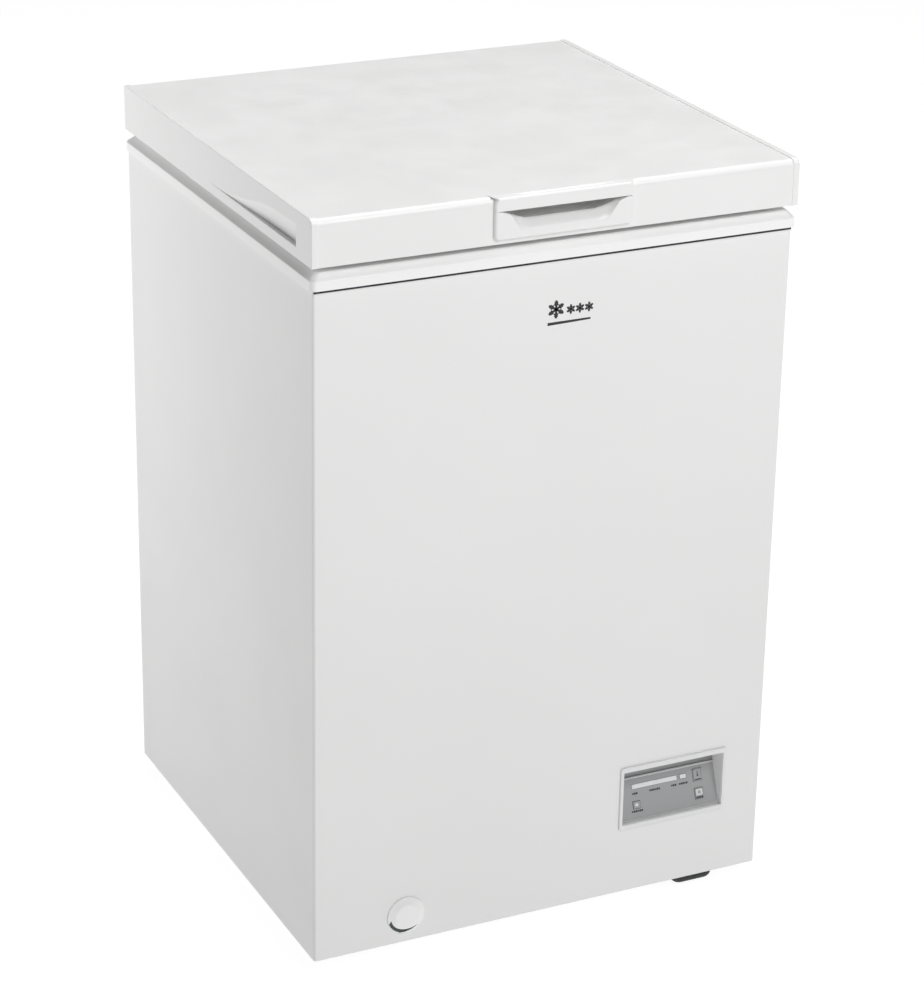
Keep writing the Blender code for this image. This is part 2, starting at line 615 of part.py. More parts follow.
def make_drain():
    tube = pipe("drain_tube", drain_path(0, 0), 0.0100, DARK_PLASTIC, sides=16, capped=False)
    thicken = tube.modifiers.new("wall", "SOLIDIFY")
    thicken.thickness = 0.0100 - DRAIN_BORE
    thicken.offset = -1

    profile = [(0.0103, -0.0008), (0.0206, -0.0008), (0.0206, -GAP), (0.0127, -GAP), (0.0127, 0.0240),
               (0.0103, 0.0240)]
    turned("drain_socket", profile, "Y", (DRAIN_X, FRONT_Y, DRAIN_Z), DARK_PLASTIC, 24)

    front = DRAIN_CAP_FRONT_Y - FRONT_Y
    profile = [(0.0058, front + 0.0022), (0.0077, front + 0.0022), (0.0077, 0.022), (0.0058, 0.022)]
    spout = turned("drain_spout", profile, "Y", (DRAIN_X, FRONT_Y, DRAIN_Z), WHITE_PLASTIC, 16)
    set_origin(spout, (DRAIN_X, FRONT_Y, DRAIN_Z))

    back = -0.0008 - GAP
    profile = [(0, front), (0.0134, front), (DRAIN_FACE_R, front + 0.0005), (0.0175, front + 0.0013),
               (0.0202, front + 0.0022), (DRAIN_CAP_R, back), (0.0190, back), (0.0150, front + 0.0024),
               (0.0130, front + 0.0019), (0, front + 0.0019)]
    cap = turned("drain_cap", profile, "Y", (DRAIN_X, FRONT_Y, DRAIN_Z), WHITE_PLASTIC, 32)
    collar = turned("cap_collar",
                    [(0.0080, front + 0.0010), (0.0100, front + 0.0010), (0.0100, back), (0.0080, back)],
                    "Y", (DRAIN_X, FRONT_Y, DRAIN_Z), steps=16)
    join(cap, collar)
    cut(cap, drain_mouth())
    set_origin(cap, (DRAIN_X, FRONT_Y, DRAIN_Z))

    low = TUB_Z - 0.007
    profile = [(0, low), (0.0072, low), (0.0076, TUB_Z + GAP), (0.0145, TUB_Z + GAP), (0.0140, TUB_Z + 0.003),
               (0.004, TUB_Z + 0.004), (0.004, TUB_Z + 0.011), (0.0065, TUB_Z + 0.013),
               (0.0065, TUB_Z + 0.016),
               (0, TUB_Z + 0.017)]
    plug = turned("tub_drain_plug", profile, "Z", (DRAIN_X, DRAIN_Y, 0), BLACK_RUBBER, 16)
    set_origin(plug, (DRAIN_X, DRAIN_Y, TUB_Z))


# ---- hinges ----
def ear(name, x0, x1, outline, hole, mat=None):
    made = prism(name, outline, "X", x0, x1, mat)
    return cut(made, rod(name + "_bore", hole, x0 - 0.005, x1 + 0.005, "X", (0, PIVOT_Y, PIVOT_Z), steps=24))


def arc(centre, radius, start, end, steps):
    return [(centre[0] + radius * math.cos(math.radians(start + (end - start) * i / steps)),
             centre[1] + radius * math.sin(math.radians(start + (end - start) * i / steps)))
            for i in range(steps + 1)]


def make_hinges():
    for side, x in HINGE_XS.items():
        low_z, high_z = 0.690, 0.768
        back = REAR_Y + GAP
        inner = HINGE_HALF - 0.0006
        leaf = block("hinge_cabinet_" + side, (x - inner, back, low_z), (x + inner, back + 0.0025, high_z),
                     ZINC)
        outline = [(back + 0.0005, low_z + 0.001), (HINGE_BACK_Y, low_z + 0.001), (HINGE_BACK_Y, 0.787)]
        outline += arc((PIVOT_Y, PIVOT_Z), 0.0058, 0, 180, 8)
        outline += [(COLLAR_REAR_Y + GAP, PIVOT_Z - 0.003), (COLLAR_REAR_Y + GAP, high_z + 0.001),
                    (back + 0.0005, high_z - 0.001)]
        for mark, (a, b) in {"outer": (-HINGE_HALF, -HINGE_HALF + 0.0025),
                             "inner": (HINGE_HALF - 0.0025, HINGE_HALF)}.items():
            join(leaf, prism("cheek_%s_%s" % (side, mark), outline, "X", x + a, x + b))
        join(leaf, block("hinge_back_" + side, (x - inner, HINGE_BACK_Y - 0.0013, low_z + 0.004),
                         (x + inner, HINGE_BACK_Y - 0.0002, 0.780)))
        cut(leaf, rod("hinge_bore_" + side, PIN_R + 0.0003, x - 0.05, x + 0.05, "X", (0, PIVOT_Y, PIVOT_Z),
                      steps=24))

        face = LID_REAR_Y + GAP
        lid_leaf = block("hinge_lid_" + side, (x - 0.022, face, 0.806), (x + 0.022, face + 0.0025, 0.838),
                         ZINC)
        outline = [(face + 0.0004, 0.832), (face + 0.0004, PIVOT_Z + 0.004)]
        outline += arc((PIVOT_Y, PIVOT_Z), 0.0056, 160, 380, 10)
        outline += [(face + 0.008, 0.816)]
        for mark, (a, b) in {"outer": (-0.0215, -0.0190), "inner": (0.0190, 0.0215)}.items():
            join(lid_leaf, prism("lid_ear_%s_%s" % (side, mark), outline, "X", x + a, x + b))
        cut(lid_leaf,
            rod("lid_bore_" + side, PIN_R + PIN_CLEARANCE, x - 0.05, x + 0.05, "X", (0, PIVOT_Y, PIVOT_Z),
                          steps=24))
        set_origin(lid_leaf, (x, PIVOT_Y, PIVOT_Z))

        profile = [(0, -HINGE_HALF - 0.0020), (0.0045, -HINGE_HALF - 0.0020), (0.0045, -HINGE_HALF - 0.0003),
                   (PIN_R, -HINGE_HALF - 0.0003), (PIN_R, HINGE_HALF + 0.0010), (0, HINGE_HALF + 0.0010)]
        turned("hinge_pin_" + side, profile, "X", (x, PIVOT_Y, PIVOT_Z), ZINC, 24)

        turns, per_turn, radius = 5, 8, 0.0046
        low, high = low_z + 0.003, 0.783
        path = []
        for i in range(turns * per_turn + 1):
            angle = 2 * math.pi * i / per_turn
            path.append((x + radius * math.cos(angle), PIVOT_Y + radius * math.sin(angle),
                         low + (high - low) * i / (turns * per_turn)))
        pipe("hinge_spring_" + side, path, 0.0012, ZINC, 4)


# ---- lid ----
def lid_section(front_y, top_z, inset=0.0, low_z=LID_Z):
    """The lid's outline from the side, well rounded at its front edge."""
    y0, y1, z1 = front_y + inset, LID_REAR_Y - inset, top_z - inset
    r0, r1 = LID_EDGE_R - inset, max(LID_REAR_R - inset, 0.0006)
    return ([(y0, low_z)] + arc((y0 + r0, z1 - r0), r0, 180, 90, 4) + arc((y1 - r1, z1 - r1), r1, 90, 0, 2)
            + [(y1, low_z)])


def recess_cutter(side):
    """The hand scoop: a ledge at its foot, and a slope from there out to its curved upper edge."""
    loops = []
    tall = RECESS_TOP[0][1] - RECESS_Z
    for y, z in RECESS_TOP + [RECESS_TIP]:
        height = max(z - RECESS_Z, 0.0004)
        depth = RECESS_DEPTH * (height / tall) ** 0.8
        section = [(-0.001, 0), (depth, 0), (0.62 * depth, 0.45 * height), (0, height), (-0.001, height)]
        loops.append([(side * (LID_X - inward), y, RECESS_Z + up) for inward, up in section])
    return loft("recess_cutter_%s" % ("right" if side > 0 else "left"), loops)


def make_trims():
    """The end caps on the lid's sides, each with a hand scoop."""
    for mark, side in (("left", -1), ("right", 1)):
        low, high = sorted((side * (LID_X - TRIM_WIDE), side * LID_X))
        trim = prism("lid_trim_" + mark, lid_section(LID_FRONT_Y, LID_TOP_Z), "X", low, high, WHITE_PLASTIC)
        bevel(trim, 0.0008, 1, 60)
        cut(trim, recess_cutter(side))
        set_origin(trim, (0, PIVOT_Y, PIVOT_Z))


def grip_pocket():
    """The finger pocket's section from the side: a scooped slope, then a slot behind the visor."""
    return [(-0.29, 0.8070), (-0.2735, 0.8070), (-0.2690, 0.8100), (-0.2632, 0.8172), (-0.2618, 0.8174),
            (-0.2600, 0.8125), (-0.2450, 0.8115), (-0.2450, 0.8385), (-0.2670, 0.8385), (-0.2690, VISOR_Z),
            (-0.29, VISOR_Z)]


def make_lid():
    inset = LID_SKIN + GAP
    skin = prism("lid_outer", lid_section(LID_SHEET_FRONT_Y, LID_SHEET_TOP_Z), "X", -LID_SHEET_X, LID_SHEET_X,
                 WHITE_PLASTIC)
    inside = lid_section(LID_SHEET_FRONT_Y, LID_SHEET_TOP_Z, LID_SKIN, LID_Z - 0.01)
    cut(skin, prism("lid_inside", inside, "X", -0.3, 0.3))
    foam_low = LINER_Z + 0.002 + GAP
    foam = prism("lid_foam", lid_section(LID_SHEET_FRONT_Y, LID_SHEET_TOP_Z, inset, foam_low), "X",
                 -LID_SHEET_X,
                 LID_SHEET_X, FOAM)
    boss_low = BOSS_Z + 0.002 + GAP
    boss_inset = 0.002 + GAP
    join(foam, block("foam_boss", (-BOSS_X + boss_inset, BOSS_FRONT_Y + boss_inset, boss_low),
                     (BOSS_X - boss_inset, BOSS_REAR_Y - boss_inset, foam_low + 0.01)))
    for target in (skin, foam):
        wall = 0.0 if target is skin else 0.004
        cut(target,
            block("grip_opening_" + target.name, (-GRIP_X + 0.004 - wall, -0.3, GRIP_Z + 0.004 - wall * 1.0),
                          (GRIP_X - 0.004 + wall, GRIP_BACK_Y + GAP,
                           0.8425 + GAP if target is skin else 0.9)))
    set_origin(skin, (0, PIVOT_Y, PIVOT_Z))
    set_origin(foam, (0, PIVOT_Y, PIVOT_Z))

    liner = prism("lid_liner",
                  rounded_rect(-LID_SHEET_X, LID_SHEET_X, LID_SHEET_FRONT_Y + inset, LID_REAR_Y - inset,
                                            0.002), "Z", LINER_Z, LINER_Z + 0.002, WHITE_PLASTIC)
    boss = prism("liner_boss", rounded_rect(-BOSS_X, BOSS_X, BOSS_FRONT_Y, BOSS_REAR_Y, 0.012), "Z", BOSS_Z,
                 LINER_Z + 0.001)
    join(liner, boss)
    cut(liner, block("liner_boss_inside", (-BOSS_X + 0.002, BOSS_FRONT_Y + 0.002, BOSS_Z + 0.002),
                     (BOSS_X - 0.002, BOSS_REAR_Y - 0.002, 0.9)))
    set_origin(liner, (0, PIVOT_Y, PIVOT_Z))

    low, high = COLLAR_TOP_Z + GAP, LINER_Z - GAP
    profile = [(-0.022, high), (-0.021, high - 0.002), (-0.023, low + 0.002), (-0.025, low), (-0.034, low),
               (-0.036, low + 0.002), (-0.0375, high - 0.002), (-0.0365, high)]
    gasket = ring("lid_gasket", (-COLLAR_X, COLLAR_X, COLLAR_FRONT_Y, COLLAR_REAR_Y), 0.045, profile, GASKET)
    set_origin(gasket, (0, PIVOT_Y, PIVOT_Z))


def make_grip():
    face = prism("handle_grip", rounded_rect(-GRIP_X, GRIP_X, GRIP_Z, 0.8435, 0.006), "Y", GRIP_FRONT_Y,
                 LID_SHEET_FRONT_Y - GAP, WHITE_PLASTIC)
    bevel(face, 0.0015, 2, 60)
    join(face, block("grip_body", (-GRIP_X + 0.0043, LID_FRONT_Y - 0.002, GRIP_Z + 0.0043),
                     (GRIP_X - 0.0043, GRIP_BACK_Y, 0.8422)))
    cut(face, prism("grip_pocket", grip_pocket(), "X", -SLOT_X, SLOT_X))
    set_origin(face, (0, PIVOT_Y, PIVOT_Z))


# ---- basket ----
def make_basket():
    (x0, x1), (y0, y1), (z0, z1) = BASKET_X, BASKET_Y, BASKET_Z
    bm = bmesh.new()
    bmesh.ops.create_cube(bm, size=1.0)
    size, centre = Vector((x1 - x0, y1 - y0, z1 - z0)), Vector((x0 + x1, y0 + y1, z0 + z1)) / 2
    bmesh.ops.transform(bm, matrix=Matrix.Translation(centre) @ Matrix.Diagonal((*size, 1)), verts=bm.verts)
    top = [f for f in bm.faces if f.normal.z > 0.9]
    bmesh.ops.delete(bm, geom=top, context="FACES_ONLY")
    for axis, cells in ((0, 4), (1, 7), (2, 2)):
        for step in range(1, cells):
            place = Vector((x0, y0, z0))
            place[axis] += size[axis] * step / cells
            normal = Vector((0, 0, 0))
            normal[axis] = 1
            bmesh.ops.bisect_plane(bm, geom=bm.verts[:] + bm.edges[:] + bm.faces[:], plane_co=place,
                                   plane_no=normal)
    basket = as_object("wire_basket", bm, WIRE_COAT)
    wires = basket.modifiers.new("wires", "WIREFRAME")
    wires.thickness = BASKET_WIRE
    wires.use_replace = True
    wires.use_boundary = True
    wires.use_even_offset = True
    for mark, y, out in (("front", y0, -1), ("rear", y1, 1)):
        for number, x in enumerate((x0 + 0.045, x1 - 0.045)):
            reach = 0.0185 if out < 0 else 0.0225
            hang = y + out * 0.0004
            rest_z = COLLAR_TOP_Z + 0.0022
            path = [(x, hang, z1 - 0.027), (x, hang, rest_z), (x, y + out * reach, rest_z)]
            join(basket, pipe("basket_hook_%s_%d" % (mark, number), bent(path, 0.006), 0.0019, sides=6))
    set_origin(basket, ((x0 + x1) / 2, (y0 + y1) / 2, z1))


make_cabinet_skins()
make_tub_and_foam()
make_feet()
make_compressor()
make_rear_grille()
make_panel()
make_drain()
make_hinges()
make_lid()
make_trims()
make_grip()
make_basket()
bpy.context.view_layer.update()
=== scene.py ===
"""The looks of the chest freezer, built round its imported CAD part. Metres, row frame."""

import json
import math

import bmesh
import bpy
from mathutils import Matrix, Vector


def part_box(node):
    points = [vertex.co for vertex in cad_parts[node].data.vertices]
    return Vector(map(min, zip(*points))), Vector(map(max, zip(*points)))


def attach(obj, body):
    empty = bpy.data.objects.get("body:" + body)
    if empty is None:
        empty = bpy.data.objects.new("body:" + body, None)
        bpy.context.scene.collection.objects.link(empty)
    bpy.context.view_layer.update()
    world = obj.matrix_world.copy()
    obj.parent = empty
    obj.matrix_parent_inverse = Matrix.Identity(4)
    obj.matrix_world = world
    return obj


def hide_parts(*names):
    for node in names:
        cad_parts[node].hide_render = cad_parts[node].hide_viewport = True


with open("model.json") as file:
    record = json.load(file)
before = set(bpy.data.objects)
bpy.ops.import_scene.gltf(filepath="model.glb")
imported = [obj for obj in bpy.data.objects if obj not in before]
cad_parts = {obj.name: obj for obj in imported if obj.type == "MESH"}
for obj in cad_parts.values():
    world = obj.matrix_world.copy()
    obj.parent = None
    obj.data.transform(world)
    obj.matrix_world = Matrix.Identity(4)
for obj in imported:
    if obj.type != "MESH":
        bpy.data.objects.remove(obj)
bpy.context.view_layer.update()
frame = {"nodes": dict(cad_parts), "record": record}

SCENE = bpy.context.scene
GAP = 0.0003

CABINET_X, FRONT_Y, REAR_Y, CABINET_Z = 0.270, -0.266, 0.258, 0.019
COLLAR_X, COLLAR_FRONT_Y, COLLAR_REAR_Y = 0.273, -0.270, 0.261
LID_X, LID_FRONT_Y, LID_REAR_Y, LID_Z, LID_TOP_Z = 0.273, -0.2705, 0.2602, 0.795, 0.845
PIVOT = Vector((0, 0.267, 0.795))
PANEL_OUT = (0.093, 0.2255, 0.097, 0.1735)
PANEL_IN = (0.097, 0.2215, 0.1025, 0.1675)
FASCIA_FOOT, FASCIA_TILT = (-0.2637, 0.1023), math.radians(19.9)
DRAIN = Vector((-0.1635, FRONT_Y, 0.0515))
GRIP_FRONT_Y, GRIP_HALF = -0.2745, 0.078
HINGE_X = 0.185
FLOOR_HALF = 40.0
FLOOR_GLOW = 0.93  # holds the floor white under and round the freezer


# ---- finishes ----
class Finish:
    """A Principled material with procedural detail laid on it."""

    def __init__(self, name, rgb, rough, metal=0.0, **more):
        self.mat = bpy.data.materials.new(name)
        self.mat.use_nodes = True
        self.tree = self.mat.node_tree
        self.inputs = self.tree.nodes["Principled BSDF"].inputs
        self.inputs["Base Color"].default_value = (*rgb, 1)
        self.inputs["Roughness"].default_value = rough
        self.inputs["Metallic"].default_value = metal
        for key, value in more.items():
            self.inputs[key.replace("_", " ")].default_value = value
        self.place = self.node("TexCoord").outputs["Object"]
        self.last_bump = None

    def node(self, kind, values=None, links=None, **settings):
        made = self.tree.nodes.new("ShaderNode" + kind)
        for key, value in settings.items():
            setattr(made, key, value)
        for key, value in (values or {}).items():
            made.inputs[key].default_value = value
        for key, source in (links or {}).items():
            self.tree.links.new(source, made.inputs[key])
        return made

    def stretched(self, scale):
        return self.node("Mapping", {"Scale": scale}, {"Vector": self.place}).outputs[0]

    def noise(self, scale, detail=2.0, rough=0.5, stretch=None):
        place = self.stretched(stretch) if stretch else self.place
        return self.node("TexNoise", {"Scale": scale, "Detail": detail, "Roughness": rough},
                         {"Vector": place}).outputs[0]

    def cells(self, scale, output="Distance", feature="F1", stretch=None):
        place = self.stretched(stretch) if stretch else self.place
        return self.node("TexVoronoi", {"Scale": scale}, {"Vector": place}, feature=feature).outputs[output]

    def spread(self, value, low, high, start=0.3, end=0.7):
        return self.node("MapRange", {"From Min": start, "From Max": end, "To Min": low, "To Max": high},
                         {"Value": value}).outputs[0]

    def bump(self, height, strength, distance):
        links = {"Height": height}
        if self.last_bump:
            links["Normal"] = self.last_bump
        made = self.node("Bump", {"Strength": strength, "Distance": distance}, links)
        self.last_bump = made.outputs[0]
        self.tree.links.new(self.last_bump, self.inputs["Normal"])
        return self

    def rough(self, value, low, high):
        self.tree.links.new(self.spread(value, low, high), self.inputs["Roughness"])
        return self

    def colour(self, value, dark, light, start=0.3, end=0.7):
        factor = self.spread(value, 0.0, 1.0, start, end)
        mix = self.node("Mix", data_type="RGBA")
        mix.inputs[6].default_value, mix.inputs[7].default_value = (*dark, 1), (*light, 1)
        self.tree.links.new(factor, mix.inputs[0])
        self.tree.links.new(mix.outputs[2], self.inputs["Base Color"])
        return self


def make_finishes():
    """One procedural finish for each slot, and a few for pieces that differ from their slot's."""
    made = {}
    steel = Finish("painted_steel", (0.8, 0.8, 0.8), 0.36)
    steel.bump(steel.noise(620, 1.5), 0.10, 0.0002).bump(steel.noise(38, 1.0), 0.05, 0.0006)
    steel.rough(steel.noise(14, 3.0), 0.33, 0.42)
    made["white_steel"] = steel.colour(steel.noise(4.0, 3.0), (0.800, 0.800, 0.797), (0.815, 0.815, 0.812))

    white = Finish("moulded_white", (0.8, 0.8, 0.8), 0.34)
    white.bump(white.noise(1300, 2.0), 0.10, 0.00012).bump(white.noise(30, 1.0), 0.03, 0.0006)
    white.rough(white.noise(22, 3.0), 0.30, 0.40)
    made["white_plastic"] = white.colour(white.noise(5.0, 2.0), (0.812, 0.812, 0.808), (0.826, 0.826, 0.823))

    frame_white = Finish("collar_white", (0.88, 0.88, 0.88), 0.30)
    frame_white.bump(frame_white.noise(1300, 2.0), 0.08, 0.0001)
    frame_white.rough(frame_white.noise(22, 3.0), 0.33, 0.37)
    made["collar_white"] = frame_white.colour(frame_white.noise(5.0, 2.0), (0.875, 0.875, 0.872),
                                              (0.89, 0.89, 0.887))

    grey = Finish("fascia_grey", (0.33, 0.33, 0.34), 0.42)
    grey.bump(grey.noise(1800, 2.0), 0.12, 0.0001)
    grey.rough(grey.noise(60, 2.0), 0.38, 0.48)
    made["grey_plastic"] = grey.colour(grey.noise(2600, 2.0), (0.355, 0.357, 0.364), (0.390, 0.392, 0.397))

    pale = Finish("bezel_white_finish", (0.78, 0.78, 0.78), 0.32)
    pale.bump(pale.noise(1500, 2.0), 0.10, 0.0001)
    pale.rough(pale.noise(40, 2.0), 0.28, 0.38)
    made["bezel_white"] = pale.colour(pale.noise(8.0, 2.0), (0.765, 0.768, 0.770), (0.790, 0.793, 0.795))

    light = Finish("bezel_grey", (0.68, 0.69, 0.69), 0.36)
    light.bump(light.noise(1500, 2.0), 0.10, 0.0001)
    light.rough(light.noise(40, 2.0), 0.32, 0.42)
    made["light_grey_plastic"] = light.colour(light.noise(8.0, 2.0), (0.66, 0.665, 0.668),
                                              (0.69, 0.695, 0.697))

    dark = Finish("housing_dark", (0.05, 0.05, 0.055), 0.5)
    dark.bump(dark.noise(1400, 2.0), 0.2, 0.0001)
    dark.rough(dark.noise(50, 2.0), 0.45, 0.6)
    made["dark_plastic"] = dark.colour(dark.noise(30, 2.0), (0.040, 0.041, 0.044), (0.065, 0.066, 0.070))

    rubber = Finish("black_rubber_finish", (0.02, 0.02, 0.021), 0.62)
    rubber.bump(rubber.noise(900, 3.0), 0.25, 0.0002)
    rubber.rough(rubber.noise(45, 2.0), 0.5, 0.72)
    made["black_rubber"] = rubber.colour(rubber.noise(70, 3.0), (0.016, 0.017, 0.018), (0.034, 0.036, 0.039))

    seal = Finish("vinyl_seal", (0.6, 0.6, 0.6), 0.55)
    seal.bump(seal.noise(1100, 2.0), 0.15, 0.0001)
    seal.rough(seal.noise(35, 2.0), 0.48, 0.62)
    made["gasket_grey"] = seal.colour(seal.noise(12, 2.0), (0.60, 0.605, 0.605), (0.66, 0.665, 0.665))

    tub = Finish("stucco_sheet", (0.86, 0.87, 0.88), 0.3, 1.0)
    tub.bump(tub.cells(240, feature="SMOOTH_F1"), 0.5, 0.0005).bump(tub.noise(420, 1.0), 0.25, 0.0003)
    tub.rough(tub.noise(18, 3.0), 0.26, 0.40)
    made["stucco_aluminium"] = tub.colour(tub.noise(7.0, 3.0), (0.83, 0.84, 0.85), (0.90, 0.905, 0.91))

    zinc = Finish("galvanised_sheet", (0.6, 0.61, 0.62), 0.4, 1.0)
    flake = zinc.node("SeparateColor", links={"Color": zinc.cells(110, "Color")}).outputs[0]
    zinc.bump(zinc.noise(300, 2.0), 0.06, 0.0002)
    zinc.rough(flake, 0.30, 0.48)
    made["zinc_steel"] = zinc.colour(flake, (0.50, 0.51, 0.525), (0.70, 0.71, 0.72), 0.1, 0.9)

    copper = Finish("drawn_copper", (0.72, 0.40, 0.26), 0.3, 1.0)
    copper.bump(copper.noise(500, 2.0), 0.08, 0.0001)
    copper.rough(copper.noise(60, 3.0), 0.25, 0.5)
    made["copper"] = copper.colour(copper.noise(40, 4.0), (0.42, 0.22, 0.14), (0.80, 0.46, 0.31))

    foam = Finish("foamed_core", (0.8, 0.7, 0.43), 0.9)
    foam.bump(foam.cells(700), 0.6, 0.0006)
    made["yellow_foam"] = foam.colour(foam.noise(60, 4.0), (0.70, 0.58, 0.32), (0.85, 0.76, 0.50))

    black = Finish("enamelled_black", (0.03, 0.03, 0.03), 0.3)
    black.bump(black.noise(500, 1.5), 0.15, 0.0003)
    black.rough(black.noise(30, 3.0), 0.24, 0.42)
    made["black_steel"] = black.colour(black.noise(25, 3.0), (0.018, 0.018, 0.019), (0.040, 0.040, 0.042))

    board = Finish("circuit_board", (0.05, 0.2, 0.1), 0.4)
    tracks = board.node("TexBrick", {"Scale": 260.0, "Mortar Size": 0.06},
                        {"Vector": board.place}).outputs["Fac"]
    board.bump(tracks, 0.3, 0.0001)
    made["board_green"] = board.colour(tracks, (0.02, 0.14, 0.07), (0.10, 0.32, 0.17), 0.0, 1.0)

    lens = Finish("light_window", (0.80, 0.81, 0.82), 0.22, Coat_Weight=0.4, Coat_Roughness=0.08)
    lens.bump(lens.node("TexWave", {"Scale": 420.0}, {"Vector": lens.place}).outputs["Fac"], 0.08, 0.0001)
    lens.rough(lens.noise(90, 2.0), 0.18, 0.30)
    made["clear_lens"] = lens.colour(lens.noise(45, 2.0), (0.78, 0.79, 0.80), (0.84, 0.85, 0.86))

    wire = Finish("coated_wire", (0.84, 0.84, 0.83), 0.28, Coat_Weight=0.3, Coat_Roughness=0.1)
    wire.bump(wire.noise(380, 1.5), 0.12, 0.0002)
    wire.rough(wire.noise(70, 2.0), 0.22, 0.36)
    made["wire_coating"] = wire.colour(wire.noise(16, 2.0), (0.81, 0.81, 0.80), (0.86, 0.86, 0.85))

    # The drain throat is a real socket; its near-black green is painted shade of the hollow behind the cap's
    # mouth.
    shade = Finish("drain_throat_painted_shade", (0.07, 0.09, 0.085), 0.6)
    shade.bump(shade.noise(800, 2.0), 0.2, 0.0001)
    shade.rough(shade.noise(60, 2.0), 0.5, 0.7)
    made["drain_shade"] = shade.colour(shade.noise(90, 2.0), (0.052, 0.070, 0.064), (0.095, 0.118, 0.110))

    ink = Finish("printed_ink", (0.02, 0.02, 0.022), 0.45)
    ink.rough(ink.noise(200, 2.0), 0.38, 0.52)
    made["ink"] = ink.colour(ink.noise(900, 2.0), (0.012, 0.012, 0.013), (0.030, 0.030, 0.032))
    return made


FINISHES = make_finishes()


# ---- mesh tools ----
def tidy(bm):
    """Joins points that coincide and turns every face outwards."""
    bmesh.ops.remove_doubles(bm, verts=bm.verts, dist=1e-6)
    bmesh.ops.dissolve_degenerate(bm, edges=bm.edges, dist=1e-6)
    bmesh.ops.delete(bm, geom=[edge for edge in bm.edges if not edge.link_faces], context="EDGES")
    bmesh.ops.recalc_face_normals(bm, faces=bm.faces)
    return bm


def object_of(name, bm):
    """A scene object made from a mesh, which is used up."""
    mesh = bpy.data.meshes.new(name)
    bm.to_mesh(mesh)
    bm.free()
    obj = bpy.data.objects.new(name, mesh)
    SCENE.collection.objects.link(obj)
    return obj


def merged(*parts):
    """Several meshes as one, each keeping its own surface."""
    whole = bmesh.new()
    for part in parts:
        mesh = bpy.data.meshes.new("part")
        part.to_mesh(mesh)
        part.free()
        whole.from_mesh(mesh)
        bpy.data.meshes.remove(mesh)
    return whole


def carved(base, *steps):
    """The base mesh after exact Boolean steps, each ("DIFFERENCE", "UNION" or "INTERSECT", mesh)."""
    target = object_of("carve_target", tidy(base))
    helpers = []
    for operation, bm in steps:
        helper = object_of("carve_helper", tidy(bm))
        helpers.append(helper)
        step = target.modifiers.new("step", "BOOLEAN")
        step.operation, step.solver, step.object = operation, "EXACT", helper
        step.use_hole_tolerant = False
    mesh = bpy.data.meshes.new_from_object(target.evaluated_get(bpy.context.evaluated_depsgraph_get()))
    made = bmesh.new()
    made.from_mesh(mesh)
    for obj in [target, *helpers]:
        bpy.data.objects.remove(obj)
    bpy.data.meshes.remove(mesh)
    return made


def piece(name, bm, body, finish, nodes=(), angle=32, weighted=True):
    """A finished piece: smooth where its faces turn gently, riding on a body."""
    tidy(bm)
    limit = math.radians(angle)
    for edge in bm.edges:
        edge.smooth = len(edge.link_faces) == 2 and edge.calc_face_angle(0.0) < limit
    for face in bm.faces:
        face.smooth = True
    obj = object_of(name, bm)
    obj.data.materials.append(FINISHES[finish].mat)
    if weighted:
        even = obj.modifiers.new("even_normals", "WEIGHTED_NORMAL")
        even.keep_sharp, even.weight = True, 100
    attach(obj, body)
    if nodes:
        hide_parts(*nodes)
    return obj


def loft(loops, ring=False):
    """A skin over loops of points, closed by a cap at each end or joined into a ring."""
    bm = bmesh.new()
    rows = [[bm.verts.new(p) for p in loop] for loop in loops]
    pairs = list(zip(rows, rows[1:])) + ([(rows[-1], rows[0])] if ring else [])
    for low, high in pairs:
        count = len(low)
        for i in range(count):
            bm.faces.new((low[i], low[(i + 1) % count], high[(i + 1) % count], high[i]))
    if not ring:
        bm.faces.new(rows[0][::-1])
        bm.faces.new(rows[-1])
    return tidy(bm)


def rounded_rect(x0, x1, y0, y1, radius, steps=6):
    """A rectangle's outline with round corners."""
    radius = max(min(radius, (x1 - x0) / 2 - 1e-5, (y1 - y0) / 2 - 1e-5), 1e-5)
    corners = ((x1 - radius, y1 - radius, 0), (x0 + radius, y1 - radius, 90), (x0 + radius, y0 + radius, 180),
               (x1 - radius, y0 + radius, 270))
    return [(cx + radius * math.cos(math.radians(turn + 90 * i / steps)),
             cy + radius * math.sin(math.radians(turn + 90 * i / steps))) for cx, cy, turn in corners
            for i in range(steps + 1)]


def stack(levels, steps=6, plane="XY"):
    """A loft through rounded rectangles, each (low, high, low, high, radius, level)."""
    order = {"XY": lambda a, b, c: (a, b, c), "XZ": lambda a, b, c: (a, c, b)}[plane]
    return [[order(a, b, level) for a, b in rounded_rect(*rect, radius, steps)] for *rect, radius,
            level in levels]


def box(low, high, round_edges=0.0):
    """A block between two corners, its edges rounded if asked."""
    bm = bmesh.new()
    bmesh.ops.create_cube(bm, size=1.0)
    low, high = Vector(low), Vector(high)
    bmesh.ops.transform(bm, matrix=Matrix.Translation((low + high) / 2) @ Matrix.Diagonal((*(high - low), 1)),
                        verts=bm.verts)
    if round_edges:
        bmesh.ops.bevel(bm, geom=bm.edges, offset=round_edges, segments=2, profile=0.5, affect="EDGES")
    return tidy(bm)


def prism(outline, axis, start, end):
    """An outline pushed along an axis."""
    turn = {"X": lambda a, b, c: (c, a, b), "Y": lambda a, b, c: (a, c, b), "Z": lambda a, b,
            c: (a, b, c)}[axis]
    return loft([[turn(a, b, level) for a, b in outline] for level in (start, end)])


def turned(profile, axis, centre, steps=32):
    """A closed profile of (radius, along) turned about an axis."""
    loops = []
    for i in range(steps):
        angle = 2 * math.pi * i / steps
        c, s = math.cos(angle), math.sin(angle)
        turn = {"X": lambda r, h: (h, r * c, r * s), "Y": lambda r, h: (r * c, h, r * s),
                "Z": lambda r, h: (r * c, r * s, h)}[axis]
        loops.append([Vector(centre) + Vector(turn(r, h)) for r, h in profile])
    return loft(loops, ring=True)


